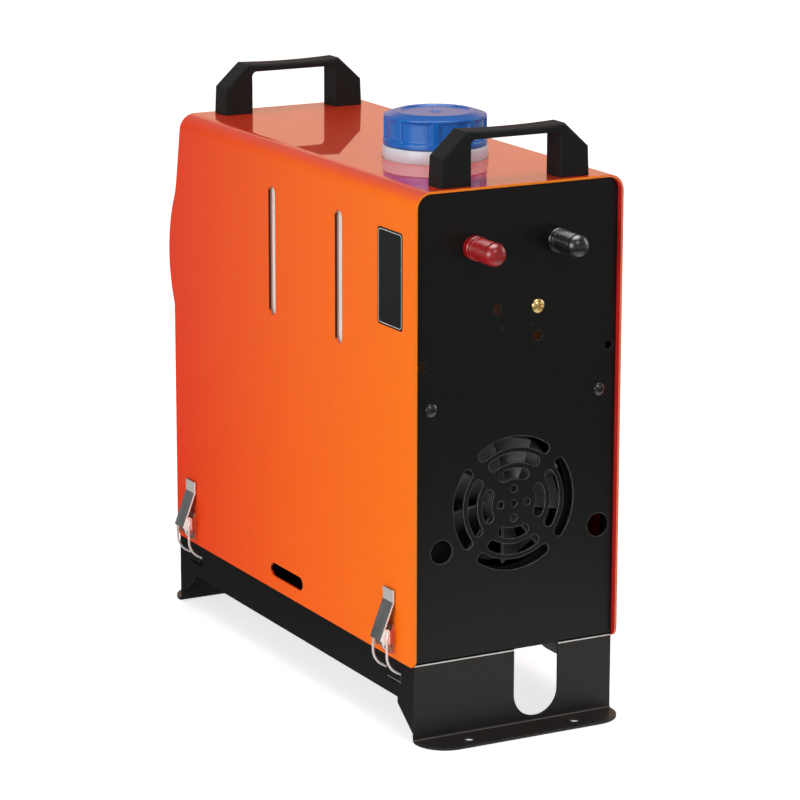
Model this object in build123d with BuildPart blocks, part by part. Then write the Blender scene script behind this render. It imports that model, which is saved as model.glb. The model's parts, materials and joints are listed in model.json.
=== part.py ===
from build123d import *
from math import asin, atan, cos, degrees, pi, radians, sin, sqrt, tan
import os

# Diesel air heater in a carrying case, in millimetres.
# X runs across the case, Y from the fan end (front) to the outlet end (rear), Z up from the floor.
# The origin is on the floor under the middle of the heater's overall box.

# ---------------------------------------------------------------- driving sizes of the case
case_w = 140.0           # width of the end panels
case_l = 338.0           # front panel face to rear leg face
deck_z = 50.0            # top of the base tray
roof_z = 342.3           # top of the cover
tray_sheet = 1.5         # base tray
skirt_h = 26.0           # depth of the tray's side skirts
foot_depth = 22.5        # floor flange, measured out from the leg
foot_corner = 20.0       # rounded corners of the floor flange
foot_hole_r = 3.2
foot_hole_gap = 75.0     # hole to hole
gusset_l = 21.2          # how far each leg's side web runs back under the skirt
gusset_drop = 3.7        # its step below the skirt
gusset_toe = 4.8         # height of its slanted edge above the floor at the leg
pipe_slot_w = 31.4       # round-ended cut-out in the leg for the exhaust pipe
pipe_slot_x = 16.1
pipe_slot_z = 4.6        # its lowest point
pipe_slot_depth = 12.0   # how far it runs back into the deck

panel_sheet = 1.5        # front panel and rear fascia
panel_flange = 12.0      # their folded-back rims
panel_corner = 8.5
cover_sheet = 1.5
cover_gap = 0.3          # running clearance between cover and panels
cover_overhang = 3.9     # front edge of the cover ahead of the front panel
cover_lap = 1.5          # how far its sides reach below the deck's top
cover_foot_r = 6.0       # rounded lower corners of its sides

# rear edge of the cover, seen from the side: upright, a bulge, and a brow leaning forward
bulge_r = 85.0
bulge_z = 246.0          # height of the bulge's widest point
bulge_out = 7.8          # its reach beyond the upright stretch
brow_tilt = 10.6         # degrees
brow_set = 13.6          # how far the roof's rear edge stands ahead of the upright stretch
bulge_blend = 42.0
bulge_root = 6.0
fascia_recess = 3.9      # rear fascia inside the cover's edge

# ---------------------------------------------------------------- front panel
fan_x = -1.0
fan_z = 143.5
grille_rings = ((35.3, 42.2), (25.6, 32.3), (15.4, 22.2))   # inner and outer radius of each ring
grille_rib = 8.0         # web left between two slots of a ring
grille_hole_r = 2.3
grille_hole_pitch = 9.3
panel_screw_inset = 11.1  # from the panel's side
panel_screw_z = 208.5
rear_screw_z = 202.5
screw_hole_r = 2.1
earth_x = 14.6
earth_z = 265.3
spare_holes = ((-13.7, 265.8, 3.2), (14.8, 247.0, 3.0), (-9.8, 254.2, 1.5), (10.6, 254.3, 1.0))
side_hole_inset = 5.0
side_hole_z = 235.7
side_hole_r = 2.8
cable_holes = ((-1, 18.8, 119.1), (1, 10.8, 122.0))     # side, distance in from it, height
cable_hole_r = 7.5

terminal_xs = {"red": -30.1, "black": 26.7}
terminal_z = 305.4
terminal_reach = 30.6    # dome's tip ahead of the panel
terminal_collar_r = 7.5
terminal_collar_l = 4.6
terminal_stud_r = 3.0
terminal_sleeve_r = 4.2  # collar's sleeve through the panel
terminal_sleeve_l = 1.0  # and its length behind it
terminal_washer_t = 1.0
terminal_cap_r = 6.7
terminal_rim_r = 7.2     # base of the cap
terminal_rim_l = 1.8
terminal_nose_r = 7.0    # root of the dome
terminal_dome = 5.6      # its height
terminal_groove = 0.35
terminal_travel = 4.0

# ---------------------------------------------------------------- cover fittings
slot_w = 9.4
slot_h = 84.0
slot_z = 273.8
slot_ys = (95.5, 188.0)  # from the front panel's face
low_slot_l = 46.0
low_slot_h = 8.9
low_slot_y = 169.7
low_slot_z = 62.0

handle_half = 51.5
handle_flare = 0.8       # legs lean outwards to the roof by this much
handle_depth = 16.5
handle_top = 33.1        # above the roof
handle_shoulder = 18.0   # height of the upright sides
handle_top_half = 34.3
handle_leg = 20.6        # width of a leg at the roof
handle_bar = 5.2
handle_dip = 1.0         # the bar's top sinks a little in the middle
handle_inner_r = 3.2
handle_edge_r = 2.0
front_handle_gap = 0.6   # near face, from the front panel's face
rear_handle_gap = 34.4   # the same at the rear, from the rear leg's face
handle_shifts = {"front_handle": -1.2, "rear_handle": 2.4}     # to the side
handle_screw_r = 2.5
handle_notch_r = 6.0     # room for the screw heads in the panels' top rims

neck_y = 103.0           # from the front panel's face
collar_r = 32.6          # white collar at the foot of the filler neck
collar_top = 350.3
neck_r = 28.6
neck_bore = 25.5
neck_top = 362.2
roof_hole_gap = 0.6
cap_r = 32.5
cap_step = 0.45          # its gripped wall inside the lower rim
cap_rim = 3.0
cap_seat_gap = 0.4       # lower rim above the white collar
cap_lid = 4.5            # thickness over the seal at the top of the gripped wall
cap_slope = 2.4          # rise of the shoulder from the wall to the crown
cap_crown_r = 24.3
cap_dish_r = 21.5
cap_dish = 0.9
cap_lobes = 8
cap_ridge = 5.4          # width of the ridges between the flutes
cap_flute_depth = 0.8
cap_flute_end = 1.8      # the flutes stop this far below the shoulder
cap_turn = -118.3        # direction of one ridge, in degrees
seal_t = 2.2

# ---------------------------------------------------------------- toggle latches
front_latch_gap = 27.0   # from the front panel's face
rear_latch_gap = 25.0    # from the rear leg's face
latch_sides = {"l": -1, "r": 1}
lever_t = 1.0
lever_half = 6.6
lever_line = ((0.9, 92.5), (0.9, 84.6), (9.8, 61.2))   # (out from the cover, height)
pivot_out = 6.2
pivot_z = 58.0
bail_arm = 8.0           # from the lever's pivot up to the bail's pivot
bail_r = 0.8
bail_half = 9.0
bail_line = ((7.3, 63.0), (7.3, 45.0), (-0.6, 40.2))    # bow of the bail's arms
bail_bow = 13.0
hook_out = -4.3          # cross-bar, measured from the cover's face
hook_z = 38.2
hook_half = 7.7
hook_l = 6.3
hook_tilt = 10.0
window_half = 10.4
window_z = (33.0, 41.6)
latch_pin_r = 1.2
latch_ear_r = 2.3
latch_ear_z = (60.0, 69.0)   # where the base's ears leave its plate
latch_plate_z = (51.0, 70.5)
pin_clear = 0.08
rivet_r = 1.6
rivet_zs = (54.2, 67.2)

# ---------------------------------------------------------------- fuel side
shelf_z = 215.0          # top of the tank shelf
shelf_sheet = 1.2
shelf_side_gap = 0.5     # to the panels' side flanges
shelf_flange = 16.0
tank_side_gap = 1.2      # inside the panels' width
tank_front = 18.0        # from the front panel's face
tank_rear_gap = 70.0     # from the rear leg's face
tank_top = 335.0
tank_corner = 12.0
tank_wall = 2.5
nipple_x = -46.0
nipple_z = 229.0
nipple_r = 2.0
tank_boss = 3.0
hose_r = 3.6
pump_rear_gap = 38.0     # from the rear leg's face
pump_z = 250.0
pump_r = 14.0
pump_half = 26.0
pump_end = 42.0          # half length over its two spigots
pump_collar = 6.0
tank_spigot = 13.0       # length of the tank's spigot beyond its boss
inlet_spigot = 9.0       # length of the fuel inlet on the heater's foot
spigot_gap = 0.4         # end of a spigot to the end of the hose's socket
line_r = 2.6
line_bore = 1.5
line_inset = 6.4         # delivery line, inside the panels' width
line_z = 66.0

# ---------------------------------------------------------------- heater unit
shell_half = 57.0
shell_low = 81.5
shell_top = 205.5
shell_corner = 30.0
shell_wall = 2.5
shell_front = 9.0        # from the front panel's face
shell_rear = 262.0
inlet_r = 42.5
fan_r = 40.5
fan_hub_r = 15.0
fan_front = 4.5
fan_depth = 20.0
fan_blades = 9
shaft_r = 2.5
shaft_clear = 0.05
motor_r = 24.0
motor_front = 30.0
housing_front = 72.0
housing_rear = 96.0
housing_r = 46.0
impeller_r = 36.0
exchanger_r = 36.0
exchanger_bore = 31.0
exchanger_rear = 244.0
fin_tip_r = 53.0
fin_t = 2.0
fin_count = 20
fin_front = 121.0
burner_r = 25.0
burner_l = 92.0
plug_y = 14.0            # glow plug behind the exchanger's flange face
plug_r = 3.2
foot_y = 140.0           # centre of the heater's foot
foot_half_x = 44.0
foot_half_y = 30.0
gasket_t = 2.0
stub_r = 12.0
stub_wall = 1.2
stub_neck_r = 11.0       # where a stub passes through the deck
stub_shoulder = 48.0     # height of the step between the two
stub_x = 23.0
stub_low = 22.0
foot_screw_x = 38.0
foot_screw_y = 23.0
foot_screw_r = 3.0

# ---------------------------------------------------------------- outlet and controller
duct_r = 36.2
duct_wall = 1.5
ring_r = 46.0
ring_t = 3.0
sleeve_r = 39.0
louvre_r = 37.0
louvre_wall = 2.0
louvre_depth = 15.0
vane_count = 6
vane_tilt = 25.0
ctrl_z = 315.5
ctrl_half_x = 48.0
ctrl_half_z = 20.5
ctrl_box_half_x = 44.5
ctrl_box_half_z = 17.0
ctrl_proud = 2.2
ctrl_wall = 2.0
ctrl_depth = 11.0
lens_half_x = 25.0
lens_half_z = 13.0
lens_x = -14.0           # seen from behind the heater, left is minus
key_r = 3.6
key_gap = 0.3
key_pitch = 15.0
key_x = 28.0
key_proud = 1.2
key_travel = 0.8
key_foot = 3.0           # length of a key's stem inside the front wall

fit = 0.05               # close clearance round screws and studs
face_gap = 0.3           # clearance between parts that move past each other

# ---------------------------------------------------------------- places worked out from them
half_w = case_w / 2
panel_screw_x = half_w - panel_screw_inset
side_hole_x = half_w - side_hole_inset
handle_ys = {"front_handle": front_handle_gap, "rear_handle": case_l - rear_handle_gap}
latch_ys = {"f": front_latch_gap, "r": case_l - rear_latch_gap}
shelf_half = half_w - panel_sheet - shelf_side_gap
tank_half = half_w - tank_side_gap
cap_bottom = collar_top + cap_seat_gap
cap_top = neck_top + seal_t + cap_lid
cap_crown = cap_top + cap_slope
tank_l = case_l - tank_front - tank_rear_gap
pump_y = case_l - pump_rear_gap
line_x = half_w - line_inset
front = -(case_l + foot_depth - terminal_reach) / 2
rear = front + case_l
mid_y = front + case_l / 2
cover_in = half_w + cover_gap
cover_out = cover_in + cover_sheet
panel_top = roof_z - cover_sheet - cover_gap
cover_low = deck_z - cover_lap
upright_y = rear                      # cover's upright rear edge
bulge_y = upright_y + bulge_out - bulge_r
fascia_face = upright_y - fascia_recess
fan_axis = Plane.XZ.offset(-front).shift_origin((fan_x, front, fan_z))


def save(piece, name):
    """Label a finished piece and write it to its own file."""
    piece.part.label = name
    export_step(piece.part, f"parts/{name}.step")


def across(y):
    """Sketch plane facing the fan end at distance y behind the front panel's face; x is X, y is Z."""
    return Plane.XZ.offset(-(front + y))


def on_axis(y):
    """The same, with its origin on the fan's axis."""
    return Plane(origin=(fan_x, front + y, fan_z), x_dir=(1, 0, 0), z_dir=(0, -1, 0))


def arch(half, low, top, corner):
    """Upright rectangle with its two upper corners rounded."""
    with BuildLine() as outline:
        Polyline((-half, low), (half, low), (half, top), (-half, top), close=True)
    make_face(outline.edges())
    fillet(vertices().group_by(Axis.Y)[-1], corner)


def case_side(inset, low, top):
    """Side view of the case in (Y, Z): straight front, curved rear edge moved in by inset."""
    start = front - cover_overhang
    lean = tan(radians(brow_tilt))
    shift = inset / cos(radians(brow_tilt))
    brow_top = upright_y - brow_set - shift + (roof_z - top) * lean
    brow_mid = upright_y - brow_set - shift + (roof_z - bulge_z) * lean
    with BuildLine() as below:
        Polyline((start, low), (upright_y - inset, low), (upright_y - inset, bulge_z), (start, bulge_z), close=True)
    make_face(below.edges())
    with BuildLine() as above:
        Polyline((start, bulge_z), (brow_mid, bulge_z), (brow_top, top), (start, top), close=True)
    make_face(above.edges())
    with Locations(Location((bulge_y, bulge_z, 0), (0, 0, 180))):
        Circle(bulge_r - inset)
    inner = vertices().filter_by_position(Axis.Y, low + 1, top - 1).sort_by(Axis.Y)
    fillet(inner[-1], bulge_blend + inset)
    fillet(inner[0], bulge_root + inset)


def ring_slots(rings, rib):
    """Four round-ended arc slots in each ring, with webs of width rib on the diagonals."""
    for inner, outer in rings:
        mid = (inner + outer) / 2
        width = outer - inner
        half = 45 - degrees((rib / 2 + width / 2) / mid)
        for turn in (0, 90, 180, 270):
            with BuildLine(mode=Mode.PRIVATE) as arc:
                CenterArc((0, 0), mid, turn - half, 2 * half)
            SlotArc(arc.wire(), width)


# ================================================================ base tray

def leg_profile(end):
    """Leg and floor flange as one bent strip in (Y, Z); end is -1 at the front and 1 at the rear."""
    face = front if end < 0 else rear
    toe = face + end * foot_depth
    back = face - end * tray_sheet
    with BuildLine() as outline:
        Polyline((toe, 0), (back, 0), (back, deck_z), (face, deck_z), (face, tray_sheet), (toe, tray_sheet), close=True)
    make_face(outline.edges())
    fillet(vertices().sort_by_distance((face, tray_sheet))[0], tray_sheet)
    fillet(vertices().sort_by_distance((back, 0))[0], 2 * tray_sheet)


def skirt_profile():
    """Side skirt in (Y, Z) with the slanted web of each leg below its ends."""
    low = deck_z - skirt_h
    step = low - gusset_drop
    with BuildLine() as outline:
        Polyline(
            (front, deck_z), (front, gusset_toe), (front + gusset_l, step), (front + gusset_l, low),
            (rear - gusset_l, low), (rear - gusset_l, step), (rear, gusset_toe), (rear, deck_z), close=True)
    make_face(outline.edges())


def hook_profile(side):
    """Hook tab in (X, Z), hanging from the top of its window and leaning out by hook_tilt."""
    lean = sin(radians(hook_tilt))
    drop = cos(radians(hook_tilt))
    root = window_z[1]
    outer = half_w
    tip = (outer + hook_l * lean, root - hook_l * drop)
    points = [
        (outer - tray_sheet, root + 1), (outer, root + 1), (outer, root), tip,
        (tip[0] - tray_sheet * drop, tip[1] - tray_sheet * lean),
        (outer - tray_sheet * drop, root - tray_sheet * lean), (outer - tray_sheet, root)]
    with BuildLine() as outline:
        Polyline(*[(side * x, z) for x, z in points], close=True)
    make_face(outline.edges())


def make_base_tray():
    with BuildPart() as base_tray:
        with BuildSketch(Plane.XY.offset(deck_z - tray_sheet)):
            with Locations((0, mid_y)):
                Rectangle(case_w, case_l)
        extrude(amount=tray_sheet)
        for end in (-1, 1):
            with BuildSketch(Plane.YZ.offset(-half_w)):
                leg_profile(end)
            extrude(amount=case_w)
        for plane in (Plane.YZ.offset(-half_w), Plane.YZ.offset(half_w - tray_sheet)):
            with BuildSketch(plane):
                skirt_profile()
            extrude(amount=tray_sheet)
        toes = edges().filter_by(Axis.Z).filter_by(lambda e: e.center().Z < tray_sheet)
        toes = toes.filter_by(lambda e: e.center().Y < front - 2 * tray_sheet or e.center().Y > rear + 2 * tray_sheet)
        fillet(toes, foot_corner)
        # windows and hook tabs for the latches' bails
        for y in latch_ys.values():
            for side in (-1, 1):
                with BuildSketch(Plane.YZ.offset(side * half_w)):
                    with Locations((front + y, sum(window_z) / 2)):
                        Rectangle(2 * window_half, window_z[1] - window_z[0])
                extrude(amount=-side * tray_sheet, mode=Mode.SUBTRACT)
                with BuildSketch(across(y)):
                    hook_profile(side)
                extrude(amount=hook_half, both=True)
        # floor flange holes
        with Locations((0, front - foot_depth / 2, 0), (0, rear + foot_depth / 2, 0)):
            with GridLocations(foot_hole_gap, 0, 2, 1):
                Cylinder(foot_hole_r, 4 * tray_sheet, mode=Mode.SUBTRACT)
        # pipe cut-outs through each leg and back into the deck
        end_r = pipe_slot_w / 2
        for y, back in ((0, pipe_slot_depth), (case_l - pipe_slot_depth, pipe_slot_depth)):
            with BuildSketch(across(y)):
                with Locations((pipe_slot_x, pipe_slot_z + end_r)):
                    Circle(end_r)
                with Locations((pipe_slot_x, (pipe_slot_z + end_r + deck_z) / 2)):
                    Rectangle(pipe_slot_w, deck_z - pipe_slot_z - end_r)
            extrude(amount=-back, mode=Mode.SUBTRACT)
        # holes for the heater's stubs and foot screws
        with Locations((fan_x - stub_x, front + foot_y, deck_z), (fan_x + stub_x, front + foot_y, deck_z)):
            Cylinder(stub_neck_r + face_gap, 4 * tray_sheet, mode=Mode.SUBTRACT)
        with Locations((fan_x, front + foot_y, deck_z)):
            with GridLocations(2 * foot_screw_x, 2 * foot_screw_y, 2, 2):
                Cylinder(foot_screw_r + fit, 4 * tray_sheet, mode=Mode.SUBTRACT)
    save(base_tray, "base_tray")


# ================================================================ panels and cover

def make_front_panel():
    with BuildPart() as front_panel:
        with BuildSketch(across(0)):
            arch(half_w, deck_z, panel_top, panel_corner)
        extrude(amount=-panel_flange)
        with BuildSketch(across(panel_sheet)):
            arch(half_w - panel_sheet, deck_z + panel_sheet, panel_top - panel_sheet, panel_corner - panel_sheet)
        extrude(amount=-panel_flange, mode=Mode.SUBTRACT)
        with BuildSketch(on_axis(0)):
            ring_slots(grille_rings, grille_rib)
            Circle(grille_hole_r)
            with PolarLocations(grille_hole_pitch, 4):
                Circle(grille_hole_r)
        extrude(amount=-panel_sheet, mode=Mode.SUBTRACT)
        with BuildSketch(across(0)):
            with Locations((-panel_screw_x, panel_screw_z), (panel_screw_x, panel_screw_z), (earth_x, earth_z)):
                Circle(screw_hole_r)
            for x, z, r in spare_holes:
                with Locations((x, z)):
                    Circle(r)
            with Locations((-side_hole_x, side_hole_z), (side_hole_x, side_hole_z)):
                Circle(side_hole_r)
            with Locations(*[(side * (half_w - inset), z) for side, inset, z in cable_holes]):
                Circle(cable_hole_r)
            with Locations(*[(x, terminal_z) for x in terminal_xs.values()]):
                Circle(terminal_sleeve_r + fit)
        extrude(amount=-panel_sheet, mode=Mode.SUBTRACT)
        with Locations(*[(x, y, panel_top) for x, y in handle_screw_spots("front_handle")]):
            Cylinder(handle_notch_r, 4 * panel_sheet, mode=Mode.SUBTRACT)
    save(front_panel, "front_panel")


def controller_plane():
    """Plane on the fascia's leaning brow, x to the right seen from behind the heater, z outwards."""
    tilt = radians(brow_tilt)
    y = upright_y - brow_set - fascia_recess / cos(tilt) + (roof_z - ctrl_z) * tan(tilt)
    return Plane(origin=(0, y, ctrl_z), x_dir=(-1, 0, 0), z_dir=(0, cos(tilt), sin(tilt)))


def make_rear_fascia():
    skin = fascia_recess + panel_sheet
    with BuildPart() as rear_fascia:
        with BuildSketch(Plane.YZ.offset(-half_w)):
            case_side(fascia_recess, deck_z, panel_top)
        extrude(amount=case_w)
        with BuildSketch(Plane.YZ.offset(-half_w)):
            case_side(fascia_recess + panel_flange, deck_z - 1, panel_top + 1)
        extrude(amount=case_w, mode=Mode.SUBTRACT)
        with BuildSketch(across(0)):
            arch(half_w, deck_z, panel_top, panel_corner)
        extrude(amount=-case_l - bulge_out, mode=Mode.INTERSECT)
        with BuildPart(mode=Mode.PRIVATE) as hollow:
            with BuildSketch(Plane.YZ.offset(-half_w)):
                case_side(skin, deck_z - 1, panel_top + 1)
            extrude(amount=case_w)
            with BuildSketch(across(0)):
                arch(half_w - panel_sheet, deck_z + panel_sheet, panel_top - panel_sheet, panel_corner - panel_sheet)
            extrude(amount=-case_l - bulge_out, mode=Mode.INTERSECT)
        add(hollow.part, mode=Mode.SUBTRACT)
        with BuildSketch(on_axis(case_l)):
            Circle(sleeve_r + fit)
        extrude(amount=2 * panel_flange, mode=Mode.SUBTRACT)
        with BuildSketch(across(case_l)):
            with Locations((-panel_screw_x, rear_screw_z), (panel_screw_x, rear_screw_z)):
                Circle(screw_hole_r)
        extrude(amount=2 * panel_flange, mode=Mode.SUBTRACT)
        with BuildSketch(controller_plane()):
            Rectangle(2 * (ctrl_box_half_x + fit), 2 * (ctrl_box_half_z + fit))
        extrude(amount=-2 * panel_sheet, mode=Mode.SUBTRACT)
        with Locations(*[(x, y, panel_top) for x, y in handle_screw_spots("rear_handle")]):
            Cylinder(handle_notch_r, 4 * panel_sheet, mode=Mode.SUBTRACT)
    save(rear_fascia, "rear_fascia")


def make_cover():
    corner = panel_corner + cover_gap
    with BuildPart() as cover:
        with BuildSketch(Plane.YZ.offset(-cover_out)):
            case_side(0, cover_low, roof_z)
            feet = vertices().group_by(Axis.Y)[0]
            fillet(feet, cover_foot_r)
        extrude(amount=2 * cover_out)
        with BuildSketch(across(-cover_overhang)):
            arch(cover_out, cover_low, roof_z, corner + cover_sheet)
        extrude(amount=-case_l - cover_overhang - bulge_out, mode=Mode.INTERSECT)
        with BuildSketch(across(-cover_overhang)):
            arch(cover_in, cover_low - 1, roof_z - cover_sheet, corner)
        extrude(amount=-case_l - cover_overhang - bulge_out, mode=Mode.SUBTRACT)
        with BuildSketch(Plane.YZ.offset(-cover_out)):
            with Locations(*[(front + y, slot_z) for y in slot_ys]):
                SlotOverall(slot_h, slot_w, rotation=90)
            with Locations((front + low_slot_y, low_slot_z)):
                SlotOverall(low_slot_l, low_slot_h)
            for y in latch_ys.values():
                with Locations(*[(front + y, z) for z in rivet_zs]):
                    Circle(rivet_r + fit)
        extrude(amount=2 * cover_out, mode=Mode.SUBTRACT)
        with BuildSketch(Plane.XY.offset(roof_z)):
            with Locations((0, front + neck_y)):
                Circle(collar_r + roof_hole_gap)
            for name in handle_ys:
                with Locations(*handle_screw_spots(name)):
                    Circle(handle_screw_r + fit)
        extrude(amount=-2 * cover_sheet, mode=Mode.SUBTRACT)
    save(cover, "cover")


# ================================================================ handles

def handle_screw_spots(name):
    """Centres of one handle's two screws, seen from above."""
    reach = handle_half - handle_leg / 2
    middle = handle_shifts[name]
    return [(middle + side * reach, front + handle_ys[name] + handle_depth / 2) for side in (-1, 1)]


def make_handle(name):
    y = handle_ys[name]
    top = roof_z + handle_top
    shoulder = (handle_half - handle_flare, roof_z + handle_shoulder)
    inner = handle_half - handle_leg
    dip = (handle_top_half**2 + handle_dip**2) / (2 * handle_dip)
    with BuildPart() as handle:
        with BuildSketch(across(y)):
            with BuildLine():
                Polyline((handle_top_half, top), shoulder, (handle_half, roof_z), (-handle_half, roof_z),
                         (-shoulder[0], shoulder[1]), (-handle_top_half, top))
                RadiusArc((-handle_top_half, top), (handle_top_half, top), -dip)
            make_face()
            with BuildLine():
                Polyline((-inner, roof_z), (-inner, top - handle_bar), (inner, top - handle_bar), (inner, roof_z),
                         close=True)
            make_face(mode=Mode.SUBTRACT)
            for x in (-inner, inner):
                fillet(vertices().sort_by_distance((x, top - handle_bar))[0], handle_inner_r)
        extrude(amount=-handle_depth)
        rim = edges().filter_by(lambda e: e.center().Z > roof_z + 1 and abs(e.center().Y - front - y - handle_depth / 2) > 1)
        outer = rim.filter_by(lambda e: abs(e.center().X) > handle_half - 12 or e.center().Z > top - 2)
        fillet(outer, handle_edge_r)
        add(handle.part.moved(Location((handle_shifts[name], 0, 0))), mode=Mode.REPLACE)
        with Locations(*[(x, yy, roof_z) for x, yy in handle_screw_spots(name)]):
            Cylinder(handle_screw_r, 24, mode=Mode.SUBTRACT)
    save(handle, name)


def make_handle_screws():
    """Pan-head screws driven up through the roof from inside."""
    under = roof_z - cover_sheet
    with BuildPart() as handle_screws:
        for name in handle_ys:
            for x, yy in handle_screw_spots(name):
                with Locations((x, yy, under - 2)):
                    Cylinder(4.6, 2, align=(Align.CENTER, Align.CENTER, Align.MIN))
                with Locations((x, yy, under)):
                    Cylinder(handle_screw_r - fit, 12, align=(Align.CENTER, Align.CENTER, Align.MIN))
    save(handle_screws, "handle_screws")


# ================================================================ toggle latches

def out(side, points):
    """Points (out from the cover's face, height) as (X, Z) on the given side."""
    return [(side * (cover_out + u), z) for u, z in points]


def add_latch_base(side, y):
    """Riveted base plate with two upright ears that carry the lever's pin."""
    ear_half = lever_half - lever_t - face_gap
    with BuildPart() as base:
        with BuildSketch(Plane.YZ.offset(side * cover_out)):
            with Locations((front + y, sum(latch_plate_z) / 2)):
                RectangleRounded(2 * ear_half, latch_plate_z[1] - latch_plate_z[0], 2.0)
        extrude(amount=side * lever_t)
        for hand in (-1, 1):
            with BuildSketch(across(y + hand * ear_half)):
                with BuildLine():
                    low, high = latch_ear_z
                    Polyline(*out(side, ((0, low), (0, high), (lever_t, high), (lever_t, low))), close=True)
                make_face()
                with Locations(*out(side, ((pivot_out, pivot_z),))):
                    Circle(latch_ear_r)
                make_hull()
            extrude(amount=hand * lever_t)
        with BuildSketch(across(y - 2 * ear_half)):
            with Locations(*out(side, ((pivot_out, pivot_z),))):
                Circle(latch_pin_r)
        extrude(amount=-4 * ear_half, mode=Mode.SUBTRACT)
        with BuildSketch(Plane.YZ.offset(side * cover_out)):
            with Locations(*[(front + y, z) for z in rivet_zs]):
                Circle(rivet_r + fit)
        extrude(amount=side * lever_t, mode=Mode.SUBTRACT)
    add(base.part)


def make_latch_bases():
    with BuildPart() as latch_bases:
        for side in latch_sides.values():
            for y in latch_ys.values():
                add_latch_base(side, y)
    save(latch_bases, "latch_bases")


def make_latch_lever(name, side, y):
    """Bent lever with two ears; modelled on the right and mirrored for the left."""
    pivots = out(1, ((pivot_out, pivot_z), (pivot_out, pivot_z + bail_arm)))
    knee = (lever_line[2][0] - 0.8, lever_line[2][1] + 0.6)
    with BuildPart() as lever:
        with BuildSketch(across(y)):
            with BuildLine():
                strip = Polyline(*out(1, lever_line))
                offset(strip, amount=lever_t, side=Side.LEFT)
            make_face()
        extrude(amount=lever_half, both=True)
        for hand in (-1, 1):
            with BuildSketch(across(y + hand * lever_half)):
                with Locations(*pivots):
                    Circle(2.5)
                with Locations(*out(1, (knee,))):
                    Circle(0.8)
                make_hull()
            extrude(amount=hand * lever_t)
        for spot, r in zip(pivots, (latch_pin_r, bail_r)):
            with BuildSketch(across(y - 2 * lever_half)):
                with Locations(spot):
                    Circle(r + pin_clear)
            extrude(amount=-4 * lever_half, mode=Mode.SUBTRACT)
        if side < 0:
            mirror(about=Plane.YZ, mode=Mode.REPLACE)
    save(lever, name)


def make_latch_bail(name, side, y):
    """Bent wire: both ends turned in through the lever's ears, a bowed arm each side, a cross-bar."""
    pivot = (pivot_out, pivot_z + bail_arm)
    arm = [pivot, *bail_line, (hook_out, hook_z)]
    route = [(u, z, bail_half) for u, z in arm]
    spots = [(*pivot, lever_half - lever_t - 0.8), *route]
    spots += [(u, z, -w) for u, z, w in reversed(spots)]
    path = [(side * (cover_out + u), front + y + w, z) for u, z, w in spots]
    bends = [1.6, 2.0, bail_bow, 3.5, 1.8]
    with BuildPart() as bail:
        with BuildLine() as wire:
            FilletPolyline(*path, radius=bends + bends[::-1])
        with BuildSketch(Plane(origin=path[0], z_dir=(0, 1, 0))):
            Circle(bail_r)
        sweep(path=wire.line)
    save(bail, name)


def make_latch_pins():
    reach = lever_half + face_gap
    with BuildPart() as latch_pins:
        for side in latch_sides.values():
            for y in latch_ys.values():
                with BuildSketch(across(y)):
                    with Locations(*out(side, ((pivot_out, pivot_z),))):
                        Circle(latch_pin_r)
                extrude(amount=reach, both=True)
                for hand in (-1, 1):
                    with BuildSketch(across(y + hand * reach)):
                        with Locations(*out(side, ((pivot_out, pivot_z),))):
                            Circle(latch_pin_r + 0.7)
                    extrude(amount=-hand * 0.4)
    save(latch_pins, "latch_pins")


def make_latch_rivets():
    with BuildPart() as latch_rivets:
        for side in latch_sides.values():
            for y in latch_ys.values():
                spots = [(front + y, z) for z in rivet_zs]
                for start, length, r in ((cover_out + lever_t, -cover_sheet - lever_t, rivet_r),
                                         (cover_out + lever_t, 0.8, 2.6), (cover_in, -0.8, 2.6)):
                    with BuildSketch(Plane.YZ.offset(side * start)):
                        with Locations(*spots):
                            Circle(r)
                    extrude(amount=side * length)
    save(latch_rivets, "latch_rivets")


# ================================================================ terminals and panel screws

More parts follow.
